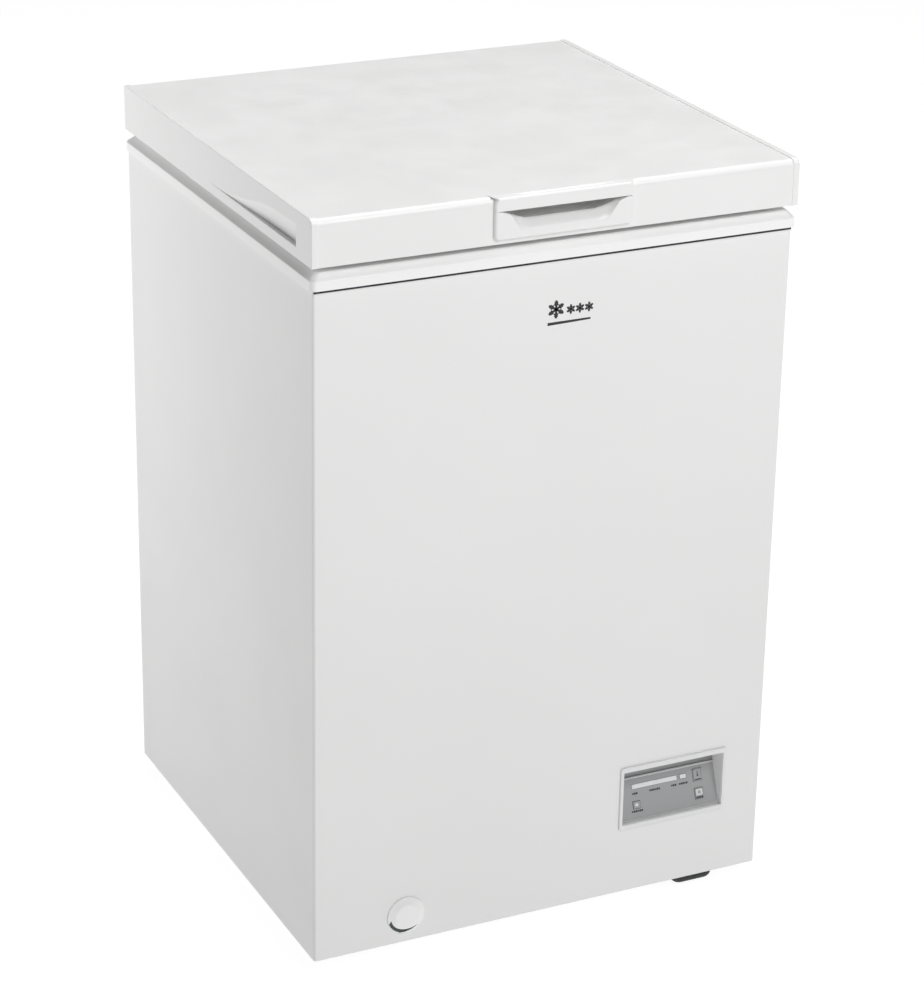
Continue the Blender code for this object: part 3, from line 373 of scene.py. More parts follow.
def tube(path, radius, sides=8, closed=False):
    """A round wire along a path, its section carried along without twist."""
    path = [Vector(p) for p in path]
    count = len(path)
    loops, side = [], None
    for i, here in enumerate(path):
        before = path[i - 1] if i or closed else here
        after = path[(i + 1) % count] if i < count - 1 or closed else here
        way = (after - before).normalized()
        if side is None:
            side = way.orthogonal().normalized()
        side = (side - way * side.dot(way)).normalized()
        up = way.cross(side)
        loops.append([here + radius * (side * math.cos(2 * math.pi * k / sides)
                                       + up * math.sin(2 * math.pi * k / sides))
                      for k in range(sides)])
    return loft(loops, ring=closed)


def rounded_path(points, radius, steps=5, closed=False):
    """A path with its corners rounded."""
    points = [Vector(p) for p in points]
    count = len(points)
    path = [] if closed else [points[0]]
    for i in range(count) if closed else range(1, count - 1):
        before, here, after = points[i - 1], points[i], points[(i + 1) % count]
        into, away = (here - before).normalized(), (after - here).normalized()
        reach = min(radius * math.tan(into.angle(away) / 2), 0.45 * (here - before).length,
                    0.45 * (after - here).length)
        for step in range(steps + 1):
            t = step / steps
            path.append((here - into * reach).lerp(here, t).lerp(here.lerp(here + away * reach, t), t))
    return path if closed else path + [points[-1]]


def smooth_curve(points, per_span=5):
    """A soft curve through points in a plane."""
    made = []
    for i in range(len(points) - 1):
        p0, p1, p2, p3 = (Vector(points[max(0, min(len(points) - 1, i + k))]) for k in (-1, 0, 1, 2))
        for step in range(per_span):
            t = step / per_span
            made.append(0.5 * (2 * p1 + (p2 - p0) * t + (2 * p0 - 5 * p1 + 4 * p2 - p3) * t * t
                               + (3 * p1 - p0 - 3 * p2 + p3) * t ** 3))
    return [tuple(p) for p in made] + [tuple(points[-1])]


def screw(centre, height=0.0014, radius=0.0034):
    """A domed screw head with a cross recess, standing towards the rear."""
    way = Vector((0, 1, 0))
    side = way.orthogonal().normalized()
    up = way.cross(side)
    rings = [(1.0, 1.0, 0.0), (1.0, 1.0, 0.35), (0.86, 0.86, 0.78), (0.62, 0.62, 1.0), (0.50, 0.14, 1.0),
             (0.44, 0.11, 0.45)]
    loops = []
    for wide, narrow, level in rings:
        loop = []
        for k in range(16):
            reach = wide if k % 4 == 0 else narrow if wide != narrow else wide
            angle = 2 * math.pi * k / 16
            loop.append(Vector(centre) + way * level * height
                        + radius * reach * (side * math.cos(angle) + up * math.sin(angle)))
        loops.append(loop)
    return loft(loops)


# ---- lid ----
TRIM_WIDE = 0.0072
SHEET_X, SHEET_FRONT_Y, SHEET_TOP_Z = LID_X - TRIM_WIDE + 0.0002, LID_FRONT_Y + 0.0006, LID_TOP_Z - 0.0010
SHEET_R = 0.0075
SCOOP_Z, SCOOP_DEPTH = 0.807, 0.0058
SCOOP_TOP = smooth_curve([(-0.2315, 0.831), (-0.195, 0.8305), (-0.163, 0.829), (-0.135, 0.8252),
                          (-0.115, 0.821),
                          (-0.073, 0.813), (-0.038, 0.809), (-0.001, 0.8072)], 5)


def arc(y, z, radius, start, end, steps):
    """Points on an arc seen from the side, between two angles in degrees."""
    return [(y + radius * math.cos(math.radians(start + (end - start) * i / steps)),
             z + radius * math.sin(math.radians(start + (end - start) * i / steps)))
            for i in range(steps + 1)]


def lid_section(front, top, inset=0.0, low=LID_Z, rim=0.001):
    """The lid's outline from the side, well rounded at its front edge."""
    y0, y1, z0, z1 = front + inset, LID_REAR_Y - inset, low + inset, top - inset
    r0, r1, rim = SHEET_R - inset, max(0.0025 - inset, 0.0006), max(rim - inset, 0.0002)
    return (arc(y0 + rim, z0 + rim, rim, 270, 180, 3) + arc(y0 + r0, z1 - r0, r0, 180, 90, 12)
            + arc(y1 - r1, z1 - r1, r1, 90, 0, 5) + arc(y1 - rim, z0 + rim, rim, 0, -90, 3))


def scoop(side):
    """The hand scoop in a side of the lid: a ledge at its foot, and a hollow slope out to its curved edge."""
    loops = []
    tall = SCOOP_TOP[0][1] - SCOOP_Z
    for y, z in SCOOP_TOP:
        height = max(z - SCOOP_Z, 0.0002)
        depth = SCOOP_DEPTH * (height / tall) ** 0.8
        section = [(-0.001, -0.0012), (0.0, -0.0005), (min(0.0005, depth * 0.4), 0.0)]
        section += [(depth * (1 - (k / 9) ** 1.25), height * k / 9) for k in range(10)] + [(-0.001, height)]
        loops.append([(side * (LID_X - inward), y, SCOOP_Z + up) for inward, up in section])
    return loft(loops)


def make_lid():
    """The sheet, its end caps, the liner with its raised middle, the foam and the seal."""
    sheet = prism(lid_section(SHEET_FRONT_Y, SHEET_TOP_Z), "X", -SHEET_X, SHEET_X)
    hollow = lid_section(SHEET_FRONT_Y, SHEET_TOP_Z, 0.002, LID_Z - 0.02)
    opening = box((-0.0745, -0.3, 0.8040), (0.0745, -0.2402, 0.8428))
    piece("lid_sheet",
          carved(sheet, ("DIFFERENCE", prism(hollow, "X", -0.3, 0.3)), ("DIFFERENCE", opening)), "lid",
          "white_plastic", ["lid_outer"], 28)
    for mark, side in (("left", -1), ("right", 1)):
        loops = []
        for inward, inset in ((TRIM_WIDE, 0.0006), (TRIM_WIDE - 0.0005, 0.0001), (TRIM_WIDE - 0.0010, 0.0),
                              (0.0010, 0.0), (0.0005, 0.00013), (0.0002, 0.0004), (0.0, 0.0009)):
            loops.append([(side * (LID_X - inward), y, z)
                          for y, z in lid_section(LID_FRONT_Y, LID_TOP_Z, inset)])
        piece("lid_end_cap_" + mark, carved(loft(loops), ("DIFFERENCE", scoop(side))), "lid", "white_plastic",
              ["lid_trim_" + mark], 28)

    edge = SHEET_X - 0.0005
    liner = [(edge, 0.2676, 0.2579, 0.002, 0.798), (edge, 0.2676, 0.2579, 0.002, 0.7960),
             (0.1995, 0.1945, 0.1845, 0.017, 0.7960), (0.1972, 0.1922, 0.1822, 0.015, 0.7955),
             (0.1960, 0.1910, 0.1810, 0.014, 0.7944), (0.1948, 0.1898, 0.1798, 0.013, 0.7878),
             (0.1940, 0.1890, 0.1790, 0.012, 0.7866), (0.1922, 0.1872, 0.1772, 0.010, 0.7860),
             (0.1660, 0.1610, 0.1510, 0.020, 0.7860), (0.1645, 0.1595, 0.1495, 0.019, 0.7864),
             (0.1630, 0.1580, 0.1480, 0.018, 0.7874), (0.1480, 0.1430, 0.1330, 0.012, 0.7874),
             (0.1465, 0.1415, 0.1315, 0.011, 0.7864), (0.1450, 0.1400, 0.1300, 0.010, 0.7860)]
    piece("lid_inner_liner", loft(stack([(-x, x, -front, rear, r, z) for x, front, rear, r, z in liner], 6)),
          "lid", "white_plastic", ["lid_liner"])

    # The foam is rounded at its corners, so that it stays inside the liner's.
    foam = bmesh.new()
    foam.from_mesh(frame["nodes"]["lid_foam"].data)
    foam.transform(frame["nodes"]["lid_foam"].matrix_world)
    inside = [(0.1930, 0.1880, 0.1780, 0.785), (0.1930, 0.1880, 0.1780, 0.7976), (0.28, 0.28, 0.28, 0.7979),
              (0.28, 0.28, 0.28, 0.86)]
    inside = loft(stack([(-x, x, -front, rear, 0.0145, z) for x, front, rear, z in inside]))
    piece("lid_foam_core", carved(foam, ("INTERSECT", inside)), "lid", "yellow_foam", ["lid_foam"])

    profile = [(0.0222, 0.7957), (0.0216, 0.7946), (0.0226, 0.7937), (0.0214, 0.7927), (0.0222, 0.7912),
               (0.0236, 0.7897), (0.0248, 0.7893), (0.0262, 0.7893), (0.0268, 0.7897), (0.0276, 0.7897),
               (0.0282, 0.7893), (0.0342, 0.7893), (0.0355, 0.7898), (0.0366, 0.7912), (0.0373, 0.7927),
               (0.0362, 0.7937), (0.0374, 0.7946), (0.0368, 0.7957)]
    rings = [(-COLLAR_X + i, COLLAR_X - i, COLLAR_FRONT_Y + i, COLLAR_REAR_Y - i, 0.045 - i, z) for i,
             z in profile]
    piece("lid_seal", loft(stack(rings, 8), ring=True), "lid", "gasket_grey", ["lid_gasket"], 40)


def ease(value):
    """A smooth step from 0 to 1."""
    value = min(max(value, 0.0), 1.0)
    return value * value * (3 - 2 * value)


def grip_pocket(front, end=0.075, stations=65):
    """The finger pocket: a hollow slope up to a lip, then a slot going in under the straight visor."""
    loops = []
    for k in range(stations):
        x = -end * math.cos(math.pi * k / (stations - 1))
        away = abs(x)
        w = min(max((away - 0.036) / (end - 0.036), 0.0), 1.0)
        # The lip rises and the slope flattens towards each end of the pocket.
        lip, deep = 0.8174 + 0.0126 * ease(w), 0.0004 + 0.0114 * (1 - w ** 1.5)
        foot = min(0.8072 + 0.0225 * ease((away - 0.046) / 0.020), lip - 0.0003)
        room = max(1 - w ** 3, 0.04)
        back, ceiling, visor = max(0.0310 * room, deep + 0.0030 * room), 0.8303 + 0.0080 * room, 0.0050 * room
        section = [(-0.0155, foot)] + [(deep * t ** 1.8, foot + (lip - foot) * t) for t in (0, .15, .3, .45,
                                                                                            .6, .75, .88, 1)]
        section += [(deep + 0.0010 * room, lip + 0.0001 * room), (deep + 0.0024 * room, lip - 0.0045 * room),
                    (back, lip - 0.0055 * room), (back, ceiling), (visor, ceiling), (visor * 0.8, 0.8304),
                    (-0.0155, 0.8304)]
        loops.append([(x, front + y, z) for y, z in section])
    return loft(loops)


def make_handle():
    """The grip: a proud plate wrapped over the lid's edge, with a slot behind a straight visor."""
    front, wide = GRIP_FRONT_Y, GRIP_HALF
    levels = [(0.0030, 0.0036, front), (0.0017, 0.0046, front + 0.0004), (0.0007, 0.0054, front + 0.0013),
              (0.0001, 0.006, front + 0.0026), (0.0, 0.006, LID_FRONT_Y + 0.0004)]
    plate = loft(stack([(-wide + i, wide - i, 0.800 + i, 0.8440 - i, r, y) for i, r, y in levels], 6, "XZ"))
    hood = []  # the grip's top, which bends back to meet the lid's edge
    for k in range(41):
        x = -wide + 0.0006 + (2 * wide - 0.0012) * k / 40
        u = abs(x) / wide
        rear = -0.2686 + 0.0081 * u ** 2.2
        top = 0.8418 + 0.0021 * u ** 2
        high = 0.8365 + math.sqrt(max(SHEET_R ** 2 - max(-0.2624 - rear, 0.0) ** 2, 0.0)) + 0.0004
        out, near = x * (1 + 0.05 * u ** 2.2), x * (1 - 0.036 * u ** 6)
        middle = (front + rear) / 2
        lid_z = 0.8365 + math.sqrt(max(SHEET_R ** 2 - max(-0.2624 - middle, 0.0) ** 2, 0.0)) + 0.0004
        hood.append([(near, front + 0.0012, 0.838), (near, front + 0.0003, 0.8395),
                     (near, front + 0.0003, top - 0.0016),
                     (near, front + 0.0009, top - 0.0004), ((x + near) / 2, front + 0.0022, top),
                     ((x + out) / 2, middle, max((top + high) / 2 + 0.0001, lid_z if u > 0.6 else 0.0)),
                     (out, rear, high), (out, rear + 0.0005, high - 0.0006), (x, rear + 0.001, 0.838)])
    body = box((-0.0737, LID_FRONT_Y - 0.002, 0.8043), (0.0737, -0.2405, 0.8422))
    made = carved(plate, ("UNION", loft(hood)), ("UNION", body), ("DIFFERENCE", grip_pocket(front)))
    piece("lid_handle", made, "lid", "white_plastic", ["handle_grip"], 30)


# ---- cabinet ----
def make_cabinet():
    """The painted skin, the collar round its rim with a black strip under it, painted shade of the gap there,
    and the feet.
    """
    skin_top = 0.7837
    outer = prism(rounded_rect(-CABINET_X, CABINET_X, FRONT_Y, REAR_Y + 0.05, 0.0032, 8), "Z", CABINET_Z,
                  skin_top)
    inner = prism(rounded_rect(-CABINET_X + 0.0008, CABINET_X - 0.0008, FRONT_Y + 0.0008, REAR_Y + 0.1,
                               0.0024, 8),
                  "Z", 0, 1)
    steps = [("DIFFERENCE", inner), ("DIFFERENCE", box((-0.4, REAR_Y, 0), (0.4, 0.5, 1))),
             ("DIFFERENCE", box((PANEL_IN[0] - 0.002, FRONT_Y - 0.01, PANEL_IN[2] - 0.002),
                                (PANEL_IN[1] + 0.002, FRONT_Y + 0.02, PANEL_IN[3] + 0.002))),
             ("DIFFERENCE", turned([(0, -0.02), (0.013, -0.02), (0.013, 0.02), (0, 0.02)], "Y", DRAIN, 40))]
    piece("cabinet_skin", carved(outer, *steps), "cabinet", "white_steel", ["outer_wrapper"], 28)

    lip = COLLAR_X - 0.214 + GAP
    profile = [(0.0027, 0.7716, 0.0038), (0.0024, 0.7713, 0.0041), (0.0007, 0.7713, 0.0058),
               (0.0002, 0.7715, 0.0063),
               (0, 0.7720, 0.0065), (0, 0.7808, 0.0065), (0.0001, 0.7813, 0.0064), (0.0005, 0.7819, 0.0062),
               (0.0070, 0.7882, 0.0058), (0.0077, 0.7887, 0.0056), (0.0087, 0.7890, 0.0055),
               (lip - 0.0002, 0.7890, 0.0047), (lip + 0.0010, 0.7887, 0.0037), (lip + 0.0017, 0.7880, 0.003),
               (lip + 0.002, 0.7868, 0.0027), (lip + 0.002, 0.7657, 0.0027), (lip + 0.0015, 0.7651, 0.003),
               (lip + 0.0003, 0.7651, 0.0044), (lip, 0.7657, 0.0047), (lip, 0.7862, 0.0047),
               (0.009, 0.7862, 0.003),
               (0.0027, 0.7800, 0.0038)]
    rings = [(-COLLAR_X + i, COLLAR_X - i, COLLAR_FRONT_Y + i, COLLAR_REAR_Y - i, r, z) for i, z,
             r in profile]
    piece("collar_frame", loft(stack(rings, 8), ring=True), "cabinet", "collar_white", ["top_collar"], 26)
    # A black strip just under the collar's front skirt: painted shade of the narrow gap between the skirt and
    # the skin.
    piece("collar_gap_shade_strip",
          box((-0.2692, FRONT_Y - 0.0006, 0.7682), (0.2692, FRONT_Y + 0.0002, 0.7712), 0.0002),
          "cabinet", "black_rubber")

    for place in ("front_left", "front_right", "rear_left", "rear_right"):
        low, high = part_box("foot_" + place)
        middle = (low + high) / 2
        levels = [(0.0205, 0.0060, 0.0), (0.0214, 0.0068, 0.0003), (0.0228, 0.0078, 0.0016),
                  (0.0242, 0.0088, 0.0036),
                  (0.0249, 0.0092, 0.0058), (0.0250, 0.0094, 0.0080), (0.0250, 0.0094, high.z)]
        pad = loft(stack([(middle.x - h, middle.x + h, middle.y - h, middle.y + h, r, z) for h, r,
                          z in levels], 6))
        piece("foot_pad_" + place, pad, "cabinet", "black_rubber", ["foot_" + place], 34)


# ---- control panel ----
def on_panel(bm):
    """Lays a mesh drawn as (across, -out, along) on the tilted fascia."""
    bmesh.ops.transform(bm, verts=bm.verts,
                        matrix=Matrix.Translation((0, *FASCIA_FOOT)) @ Matrix.Rotation(-FASCIA_TILT, 4, "X"))
    return bm


def plaque(x0, x1, s0, s1, radius, low, high, round_edges=0.0):
    """A flat rounded tile on the fascia, from low to high out of its face."""
    levels = [(x0, x1, s0, s1, radius, -low), (x0, x1, s0, s1, radius, -high + round_edges)]
    if round_edges:
        i = round_edges
        levels += [(x0 + i * 0.3, x1 - i * 0.3, s0 + i * 0.3, s1 - i * 0.3, radius, -high + i * 0.3),
                   (x0 + i, x1 - i, s0 + i, s1 - i, max(radius - i, 0.0001), -high)]
    return on_panel(loft(stack(levels, 4, "XZ")))


def outline(x0, x1, s0, s1, radius, line, high):
    """A thin printed frame round a window or key."""
    rings = [(x0, x1, s0, s1, radius, -0.00001), (x0, x1, s0, s1, radius, -high),
             (x0 + line, x1 - line, s0 + line, s1 - line, radius, -high),
             (x0 + line, x1 - line, s0 + line, s1 - line, radius, -0.00001)]
    return on_panel(loft(stack(rings, 4, "XZ"), ring=True))


def disc(x, s, radius, low, high):
    """A flat round mark on the fascia."""
    return on_panel(turned([(0, -high), (radius, -high), (radius, -low), (0, -low)], "Y", (x, 0, s), 20))


def make_panel():
    """The frame, the recess behind it, the prints and the two keys."""
    (x0, x1, z0, z1), (a0, a1, b0, b1) = PANEL_OUT, PANEL_IN
    front, back = FRONT_Y - 0.0023, FRONT_Y - GAP
    levels = [(x0, x1, z0, z1, 0.0030, back), (x0, x1, z0, z1, 0.0030, front + 0.0012),
              (x0 + 0.0002, x1 - 0.0002, z0 + 0.0002, z1 - 0.0002, 0.0029, front + 0.0006),
              (x0 + 0.0006, x1 - 0.0006, z0 + 0.0006, z1 - 0.0006, 0.0026, front + 0.0002),
              (x0 + 0.0013, x1 - 0.0013, z0 + 0.0013, z1 - 0.0013, 0.0022, front),
              (a0 - 0.0008, a1 + 0.0008, b0 - 0.0008, b1 + 0.0008, 0.0014, front),
              (a0 - 0.0002, a1 + 0.0002, b0 - 0.0002, b1 + 0.0002, 0.0010, front + 0.0002),
              (a0, a1, b0, b1, 0.0008, front + 0.0008), (a0, a1, b0, b1, 0.0008, -0.244),
              (a0 - 0.0017, a1 + 0.0017, b0 - 0.0017, b1 + 0.0017, 0.0018, -0.244),
              (a0 - 0.0017, a1 + 0.0017, b0 - 0.0017, b1 + 0.0017, 0.0018, back)]
    piece("panel_frame", loft(stack(levels, 6, "XZ"), ring=True), "cabinet", "bezel_white",
          ["control_bezel"], 30)
    piece("fascia_edge", plaque(a0 + 0.0005, a1 - 0.0005, 0.0481, 0.0493, 0.0003, -0.0021, 0.0003, 0.0003),
          "cabinet", "bezel_white")

    outer = (a0 + 0.0003, a1 - 0.0003, 0.0014, 0.0484, 0.0006)
    inner = (a0 + 0.0013, a1 - 0.0013, 0.0022, 0.0475, 0.0006)
    rim = [(*outer, 0.0001), (*outer, -0.0005), (*inner, -0.0005), (*inner, 0.0001)]
    piece("fascia_rim", on_panel(loft(stack(rim, 4, "XZ"), ring=True)), "cabinet", "light_grey_plastic")
    # A grey plate at the back of the recess above the fascia. The back wall is real; its mid grey is painted
    # shade of the deep recess under the frame's top bar.
    piece("recess_back_painted_shade", box((a0 - 0.0012, -0.2447, 0.1440), (a1 + 0.0012, -0.2440, b1 + 0.0012)), "cabinet",
          "grey_plastic")
    # The flared right inner wall of the recess. Its shape is real; its finish, whiter than the frame's, is
    # painted light falling on it.
    side = [(-0.2670, b0 + 0.0008), (-0.2670, b1 - 0.0008), (-0.2445, b1 - 0.0008), (-0.2445, 0.1470),
            (-0.2632, b0 + 0.0008)]
    wall = prism(side, "X", a1 - 0.00025, a1 + 0.0005)
    piece("recess_wall_painted_light", wall, "cabinet", "collar_white")

    prints = []
    for left, right, along in ((0.1160, 0.1232, 0.0305), (0.1375, 0.1513, 0.0305), (0.1650, 0.1722, 0.0305),
                               (0.1748, 0.1862, 0.0305), (0.1130, 0.1272, 0.0108)):
        count = max(3, round((right - left) / 0.0023))
        pitch = (right - left) / count
        for k in range(count):
            tall = 0.00115 if k % 3 else 0.0009
            prints.append(plaque(left + pitch * k, left + pitch * (k + 0.80), along - tall, along + tall,
                                 0.0003, -0.0001, 0.00006))
    prints += [outline(0.1150, 0.1247, 0.0133, 0.0223, 0.0012, 0.0006, 0.00008),
               outline(0.1162, 0.1734, 0.0354, 0.0412, 0.0004, 0.00018, 0.00006),
               outline(0.1764, 0.1852, 0.0355, 0.0413, 0.0005, 0.0002, 0.00006)]
    piece("panel_prints", merged(*prints), "cabinet", "ink", weighted=False)
    piece("running_surround", outline(0.1156, 0.1241, 0.0139, 0.0217, 0.0009, 0.0022, 0.0008), "cabinet",
          "grey_plastic")

    for name, body, xs, along in (("temp_key", "temperature_key", (0.1932, 0.2042), (0.0300, 0.0440)),
                                  ("boost_key", "boost_key_cap", (0.1930, 0.2036), (0.0092, 0.0219))):
        cap = plaque(*xs, *along, 0.0012, -0.0032, 0.0011, 0.0005)
        piece(name + "_cap", cap, body, "grey_plastic", [name])
        middle = sum(xs) / 2
        top = 0.0011
        if name == "temp_key":
            marks = [plaque(middle - 0.0004, middle + 0.0004, 0.0370, 0.0406, 0.0003, top - 0.0001,
                            top + 0.00005),
                     disc(middle, 0.0362, 0.0010, top - 0.0001, top + 0.00005),
                     plaque(xs[0] + 0.0018, xs[1] - 0.0018, 0.0312, 0.0322, 0.0004, top - 0.0001,
                            top + 0.00005),
                     outline(xs[0] + 0.0007, xs[1] - 0.0007, along[0] + 0.0007, along[1] - 0.0007, 0.0008,
                             0.00022, top + 0.00005)]
        else:
            ring = [(0.0016, -top - 0.00005), (0.0011, -top - 0.00005), (0.0011, -top + 0.0001),
                    (0.0016, -top + 0.0001)]
            marks = [on_panel(turned(ring, "Y", (middle, 0, 0.0172), 24)),
                     disc(middle, 0.0172, 0.0004, top - 0.0001, top + 0.00005),
                     outline(xs[0] + 0.0006, xs[1] - 0.0006, 0.0131, 0.0213, 0.0009, 0.0003, top + 0.00007)]
            marks += [plaque(xs[0] + 0.0009 + 0.0023 * k, xs[0] + 0.0028 + 0.0023 * k, 0.0100, 0.0124,
                             0.0005, top - 0.0001,
                             top + 0.00006) for k in range(4)]
            piece("boost_key_plate", plaque(xs[0] + 0.0008, xs[1] - 0.0008, 0.0134, 0.0211, 0.0008,
                                            top - 0.0001, top + 0.00003),
                  body, "light_grey_plastic")
        piece(name + "_mark", merged(*marks), body, "ink", weighted=False)


def flake(x, z, size, line, y=FRONT_Y):
    """A six-armed snowflake, printed on the front."""
    parts = []
    for arm in range(6):
        turn = Matrix.Translation((x, 0, z)) @ Matrix.Rotation(math.radians(60 * arm), 4, "Y")
        strokes = [box((-line / 2, y - 0.00012, 0), (line / 2, y + 0.00002, size))]
        for side in (-1, 1):
            for reach, length in ((0.42, 0.30), (0.68, 0.24)):
                stroke = box((-line * 0.42, y - 0.00011, 0), (line * 0.42, y + 0.00002, size * length))
                bmesh.ops.transform(stroke, verts=stroke.verts,
                                    matrix=Matrix.Translation((0, 0, size * reach))
                                    @ Matrix.Rotation(math.radians(side * 52), 4, "Y"))
                strokes.append(stroke)
        star = merged(*strokes)
        bmesh.ops.transform(star, verts=star.verts, matrix=turn)
        parts.append(star)
    return parts


def make_badge():
    """A plain row of snowflakes over a bar, as on any freezer."""
    parts = flake(-0.0032, 0.7168, 0.0096, 0.0024)
    for k in range(3):
        parts += flake(0.0136 + 0.0104 * k, 0.7150, 0.0052, 0.0016)
    bar = prism([(-0.0125, 0.7002), (0.0365, 0.7014), (0.0365, 0.7034), (-0.0125, 0.7034)], "Y",
                FRONT_Y - 0.00012,
                FRONT_Y + 0.00002)
    parts.append(bar)
    piece("front_badge", merged(*parts), "cabinet", "ink", weighted=False)


# ---- drain ----
def drain_mouth():
    """The crescent cut through the cap round the foot of its face, where the water runs out."""
    outer = [(188, 0.0183), (198, 0.0210), (206, 0.0300), (238, 0.0300), (248, 0.0214), (258, 0.0203),
             (274, 0.0192),
             (295, 0.0187), (314, 0.0184)]
    inner = [(315, 0.0180), (305, 0.0168), (292, 0.0156), (280, 0.0152), (267, 0.0151), (255, 0.0153),
             (243, 0.0158),
             (232, 0.0165), (221, 0.0171), (208, 0.0177), (188, 0.0179)]
    ring = []
    for line in (outer, inner):
        for (a0, r0), (a1, r1) in zip(line, line[1:]):
            ring += [(a0 + (a1 - a0) * k / 4, r0 + (r1 - r0) * k / 4) for k in range(4)]
        ring.append(line[-1])
    edge = [(DRAIN.x + r * math.cos(math.radians(a)), DRAIN.z + r * math.sin(math.radians(a))) for a,
            r in ring]
    return prism(edge, "Y", DRAIN.y - 0.01, DRAIN.y + 0.01)


def make_drain():
    """The turned cap with its open mouth, and the throat behind it, whose near-black green is painted shade
    of the hollow.
    """
    front, back = -0.0050, -0.0011
    profile = [(0, front), (0.0120, front), (0.0134, front + 0.0001), (0.0143, front + 0.0003),
               (0.0149, front + 0.0006),
               (0.0155, front + 0.0009), (0.0170, front + 0.0016), (0.0190, front + 0.0026),
               (0.0205, front + 0.0032),
               (0.0212, front + 0.0035), (0.0215, front + 0.0038), (0.0215, -0.0002), (0.02125, -0.0002),
               (0.02125, back),
               (0.0190, back), (0.0152, front + 0.0024), (0.0130, front + 0.0019), (0, front + 0.0019)]
    cap = turned(profile, "Y", DRAIN, 96)
    collar = turned([(0.0080, front + 0.0010), (0.0100, front + 0.0010), (0.0100, back), (0.0080, back)],
                    "Y", DRAIN, 40)
    piece("drain_knob", carved(cap, ("UNION", collar), ("DIFFERENCE", drain_mouth())), "spout_cap",
          "collar_white",
          ["drain_cap"], 34)
    # The socket behind the cap's mouth, coloured near-black green as painted shade of the hollow.
    flange = [(0.0103, -0.0006), (0.0200, -0.0006), (0.0208, -0.00055), (0.0211, -0.0003), (0.0211, -0.00005),
              (0.0127, -0.00005), (0.0127, 0.0240), (0.0103, 0.0240)]
    piece("drain_throat", turned(flange, "Y", DRAIN, 96), "cabinet", "drain_shade", ["drain_socket"])


# ---- basket ----
def make_basket():
    """The wire basket: rims, hoops both ways and four hooks over the collar."""
    x0, x1, y0, y1, z0, z1 = 0.0175, 0.2025, -0.2015, 0.1925, 0.5765, 0.7695
    wires, thin = [], 0.00125
    for level, radius in ((z1, 0.0024), (z0 + 0.064, thin), (z0 + 0.128, thin)):
        loop = [(x0, y0, level), (x1, y0, level), (x1, y1, level), (x0, y1, level)]
        wires.append(tube(rounded_path(loop, 0.012, 5, True), radius, 8, True))
    for k in range(1, 18):
        y = y0 + (y1 - y0) * k / 18
        path = [(x0, y, z1), (x0, y, z0), (x1, y, z0), (x1, y, z1)]
        wires.append(tube(rounded_path(path, 0.010, 4), thin, 6))
    for k in range(1, 9):
        x = x0 + (x1 - x0) * k / 9
        path = [(x, y0, z1), (x, y0, z0 + 0.0022), (x, y1, z0 + 0.0022), (x, y1, z1)]
        wires.append(tube(rounded_path(path, 0.010, 4), thin, 6))
    for y, out, reach in ((-0.203, -1, 0.0185), (0.194, 1, 0.0225)):
        for x in (0.061, 0.159):
            hang = y + out * 0.0004
            path = [(x - 0.012, hang, 0.746), (x - 0.012, hang, 0.7912), (x - 0.012, y + out * reach, 0.7912),
                    (x + 0.012, y + out * reach, 0.7912), (x + 0.012, hang, 0.7912), (x + 0.012, hang, 0.746)]
            wires.append(tube(rounded_path(path, 0.006, 4), 0.0016, 8))
    piece("basket_wires", merged(*wires), "basket", "wire_coating", ["wire_basket"], 50, weighted=False)


# ---- hinges and rear ----
def make_rear():
    """The springs, and the screws and rivets of the hinges, grille and rear panel."""
    for side, x in (("left", -HINGE_X), ("right", HINGE_X)):
        turns, steps = 15, 12
        path = []
        for i in range(turns * steps + 1):
            angle = 2 * math.pi * i / steps
            path.append((x + 0.0046 * math.cos(angle), PIVOT.y + 0.0046 * math.sin(angle),
                         0.694 + 0.088 * i / (turns * steps)))
        piece("spring_coil_" + side, tube(path, 0.0010, 6), "cabinet", "zinc_steel",
              ["hinge_spring_" + side], 60, weighted=False)
        heads = [screw((x + a, 0.2630, z), 0.0016) for a in (-0.0115, 0.0115) for z in (0.8185, 0.8315)]
        piece("lid_leaf_screws_" + side, merged(*heads), "lid", "zinc_steel", angle=40)
        rivets = [turned([(0, 0.2740), (0.0030, 0.2740), (0.0028, 0.2743), (0.0018, 0.27448), (0, 0.2745)],
                         "Y", (x + a, 0, z), 20)
                  for a in (-0.013, 0.013) for z in (0.705, 0.755)]
        piece("hinge_rivets_" + side, merged(*rivets), "cabinet", "zinc_steel", angle=40)
    grille_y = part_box("rear_grille")[1].y
    heads = [screw((x, grille_y, z)) for x in (0.1135, 0.2605) for z in (0.0305, 0.123, 0.2155)]
    heads += [screw((x, REAR_Y, z)) for x in (-0.2600, 0.2600) for z in (0.300, 0.520, 0.740)]
    heads += [screw((-0.2600, REAR_Y, z)) for z in (0.040, 0.150)]
    piece("rear_screws", merged(*heads), "cabinet", "zinc_steel", angle=40)


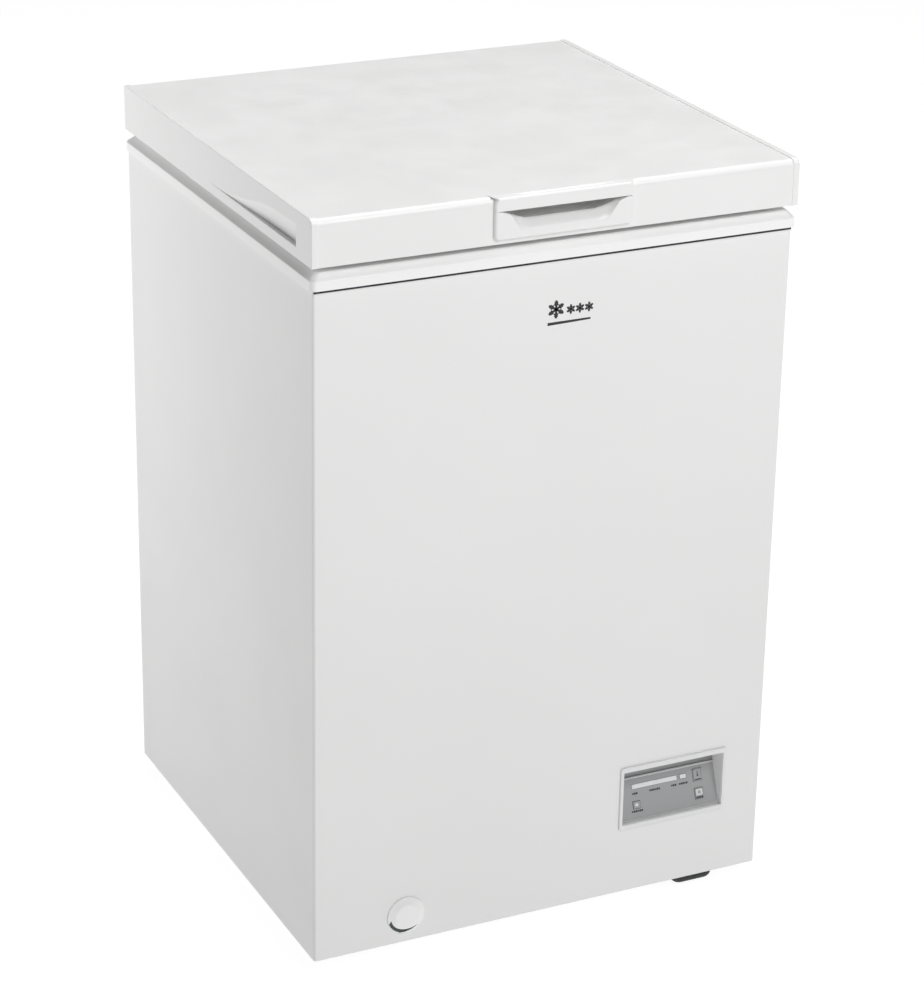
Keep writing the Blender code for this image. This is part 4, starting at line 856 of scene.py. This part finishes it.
# ---- carried-over CAD nodes ----
def softening():
    """A node group that joins a node's facets and smooths the gentle turns between them."""
    group = bpy.data.node_groups.new("soft_facets", "GeometryNodeTree")
    group.interface.new_socket("Geometry", in_out="INPUT", socket_type="NodeSocketGeometry")
    group.interface.new_socket("Geometry", in_out="OUTPUT", socket_type="NodeSocketGeometry")
    add, link = group.nodes.new, group.links.new
    start, end = add("NodeGroupInput"), add("NodeGroupOutput")
    join, all_soft, edges = (add("GeometryNodeMergeByDistance"), add("GeometryNodeSetShadeSmooth"),
                             add("GeometryNodeSetShadeSmooth"))
    join.inputs["Distance"].default_value = 1e-5
    edges.domain = "EDGE"
    angle, gentle = add("GeometryNodeInputMeshEdgeAngle"), add("FunctionNodeCompare")
    gentle.operation = "LESS_THAN"
    gentle.inputs[1].default_value = math.radians(48)
    link(start.outputs[0], join.inputs[0])
    link(join.outputs[0], all_soft.inputs[0])
    link(all_soft.outputs[0], edges.inputs[0])
    link(angle.outputs[0], gentle.inputs[0])
    link(gentle.outputs[0], edges.inputs["Shade Smooth"])
    link(edges.outputs[0], end.inputs[0])
    return group


def finish_nodes():
    """Gives every carried-over node its finish and smooth shading."""
    group = softening()
    for part in frame["record"]["subparts"]:
        obj = frame["nodes"][part["node"]]
        obj.data.materials.clear()
        obj.data.materials.append(FINISHES[part["material_slot"]].mat)
        if "custom_normal" in obj.data.attributes:
            obj.data.attributes.remove(obj.data.attributes["custom_normal"])
        soft = obj.modifiers.new("soft_facets", "NODES")
        soft.node_group = group
        even = obj.modifiers.new("even_normals", "WEIGHTED_NORMAL")
        even.keep_sharp, even.weight = True, 100


# ---- stage ----
def make_stage():
    """A plain white floor, three soft lamps and the camera."""
    world = bpy.data.worlds.new("studio")
    SCENE.world = world
    world.use_nodes = True
    world.node_tree.nodes["Background"].inputs["Color"].default_value = (1, 1, 1, 1)
    world.node_tree.nodes["Background"].inputs["Strength"].default_value = 0.05

    floor_finish = Finish("pale_floor", (0.12, 0.12, 0.12), 0.9, Emission_Color=(1, 1, 1, 1),
                          Emission_Strength=FLOOR_GLOW)
    floor_finish.colour(floor_finish.noise(1.5, 2.0), (0.115, 0.115, 0.115), (0.125, 0.125, 0.125))
    bm = bmesh.new()
    bmesh.ops.create_grid(bm, x_segments=1, y_segments=1, size=FLOOR_HALF)
    floor = object_of("floor", bm)
    floor.data.materials.append(floor_finish.mat)

    lamps = (("key", (0.6, -2.6, 2.85), (0, -0.27, 0.65), (1.8, 1.8), 70),
             ("overhead", (0.8, 1.2, 5.5), (0, 0.1, 0.8), (3.0, 3.0), 200),
             ("rear_left", (-0.95, 0.50, 0.75), (-0.27, 0.26, 0.55), (0.4, 1.0), 3.0))
    for name, place, target, size, power in lamps:
        light = bpy.data.lights.new(name, "AREA")
        light.shape, light.size, light.size_y, light.energy = "RECTANGLE", size[0], size[1], power
        lamp = bpy.data.objects.new(name, light)
        lamp.location = place
        lamp.rotation_euler = (Vector(target) - Vector(place)).to_track_quat("-Z", "Y").to_euler()
        lamp.visible_camera = False
        SCENE.collection.objects.link(lamp)

    camera = bpy.data.objects.new("camera", bpy.data.cameras.new("camera"))
    SCENE.collection.objects.link(camera)
    camera.data.lens, camera.data.sensor_width = 111.09, 36.0
    right, up, ahead = Vector((0.9028, -0.4298, 0.0164)), Vector((0.1530, 0.3566,
                                                                  0.9216)), Vector((0.4019, 0.8295, -0.3877))
    turn = Matrix((right, up, -ahead)).transposed().to_4x4()
    camera.matrix_world = Matrix.Translation((-1.3721, -2.8809, 1.7469)) @ turn
    SCENE.camera = camera
    SCENE.view_settings.view_transform = "Standard"


make_lid()
make_handle()
make_cabinet()
make_panel()
make_badge()
make_drain()
make_basket()
make_rear()
finish_nodes()
make_stage()
bpy.context.view_layer.update()
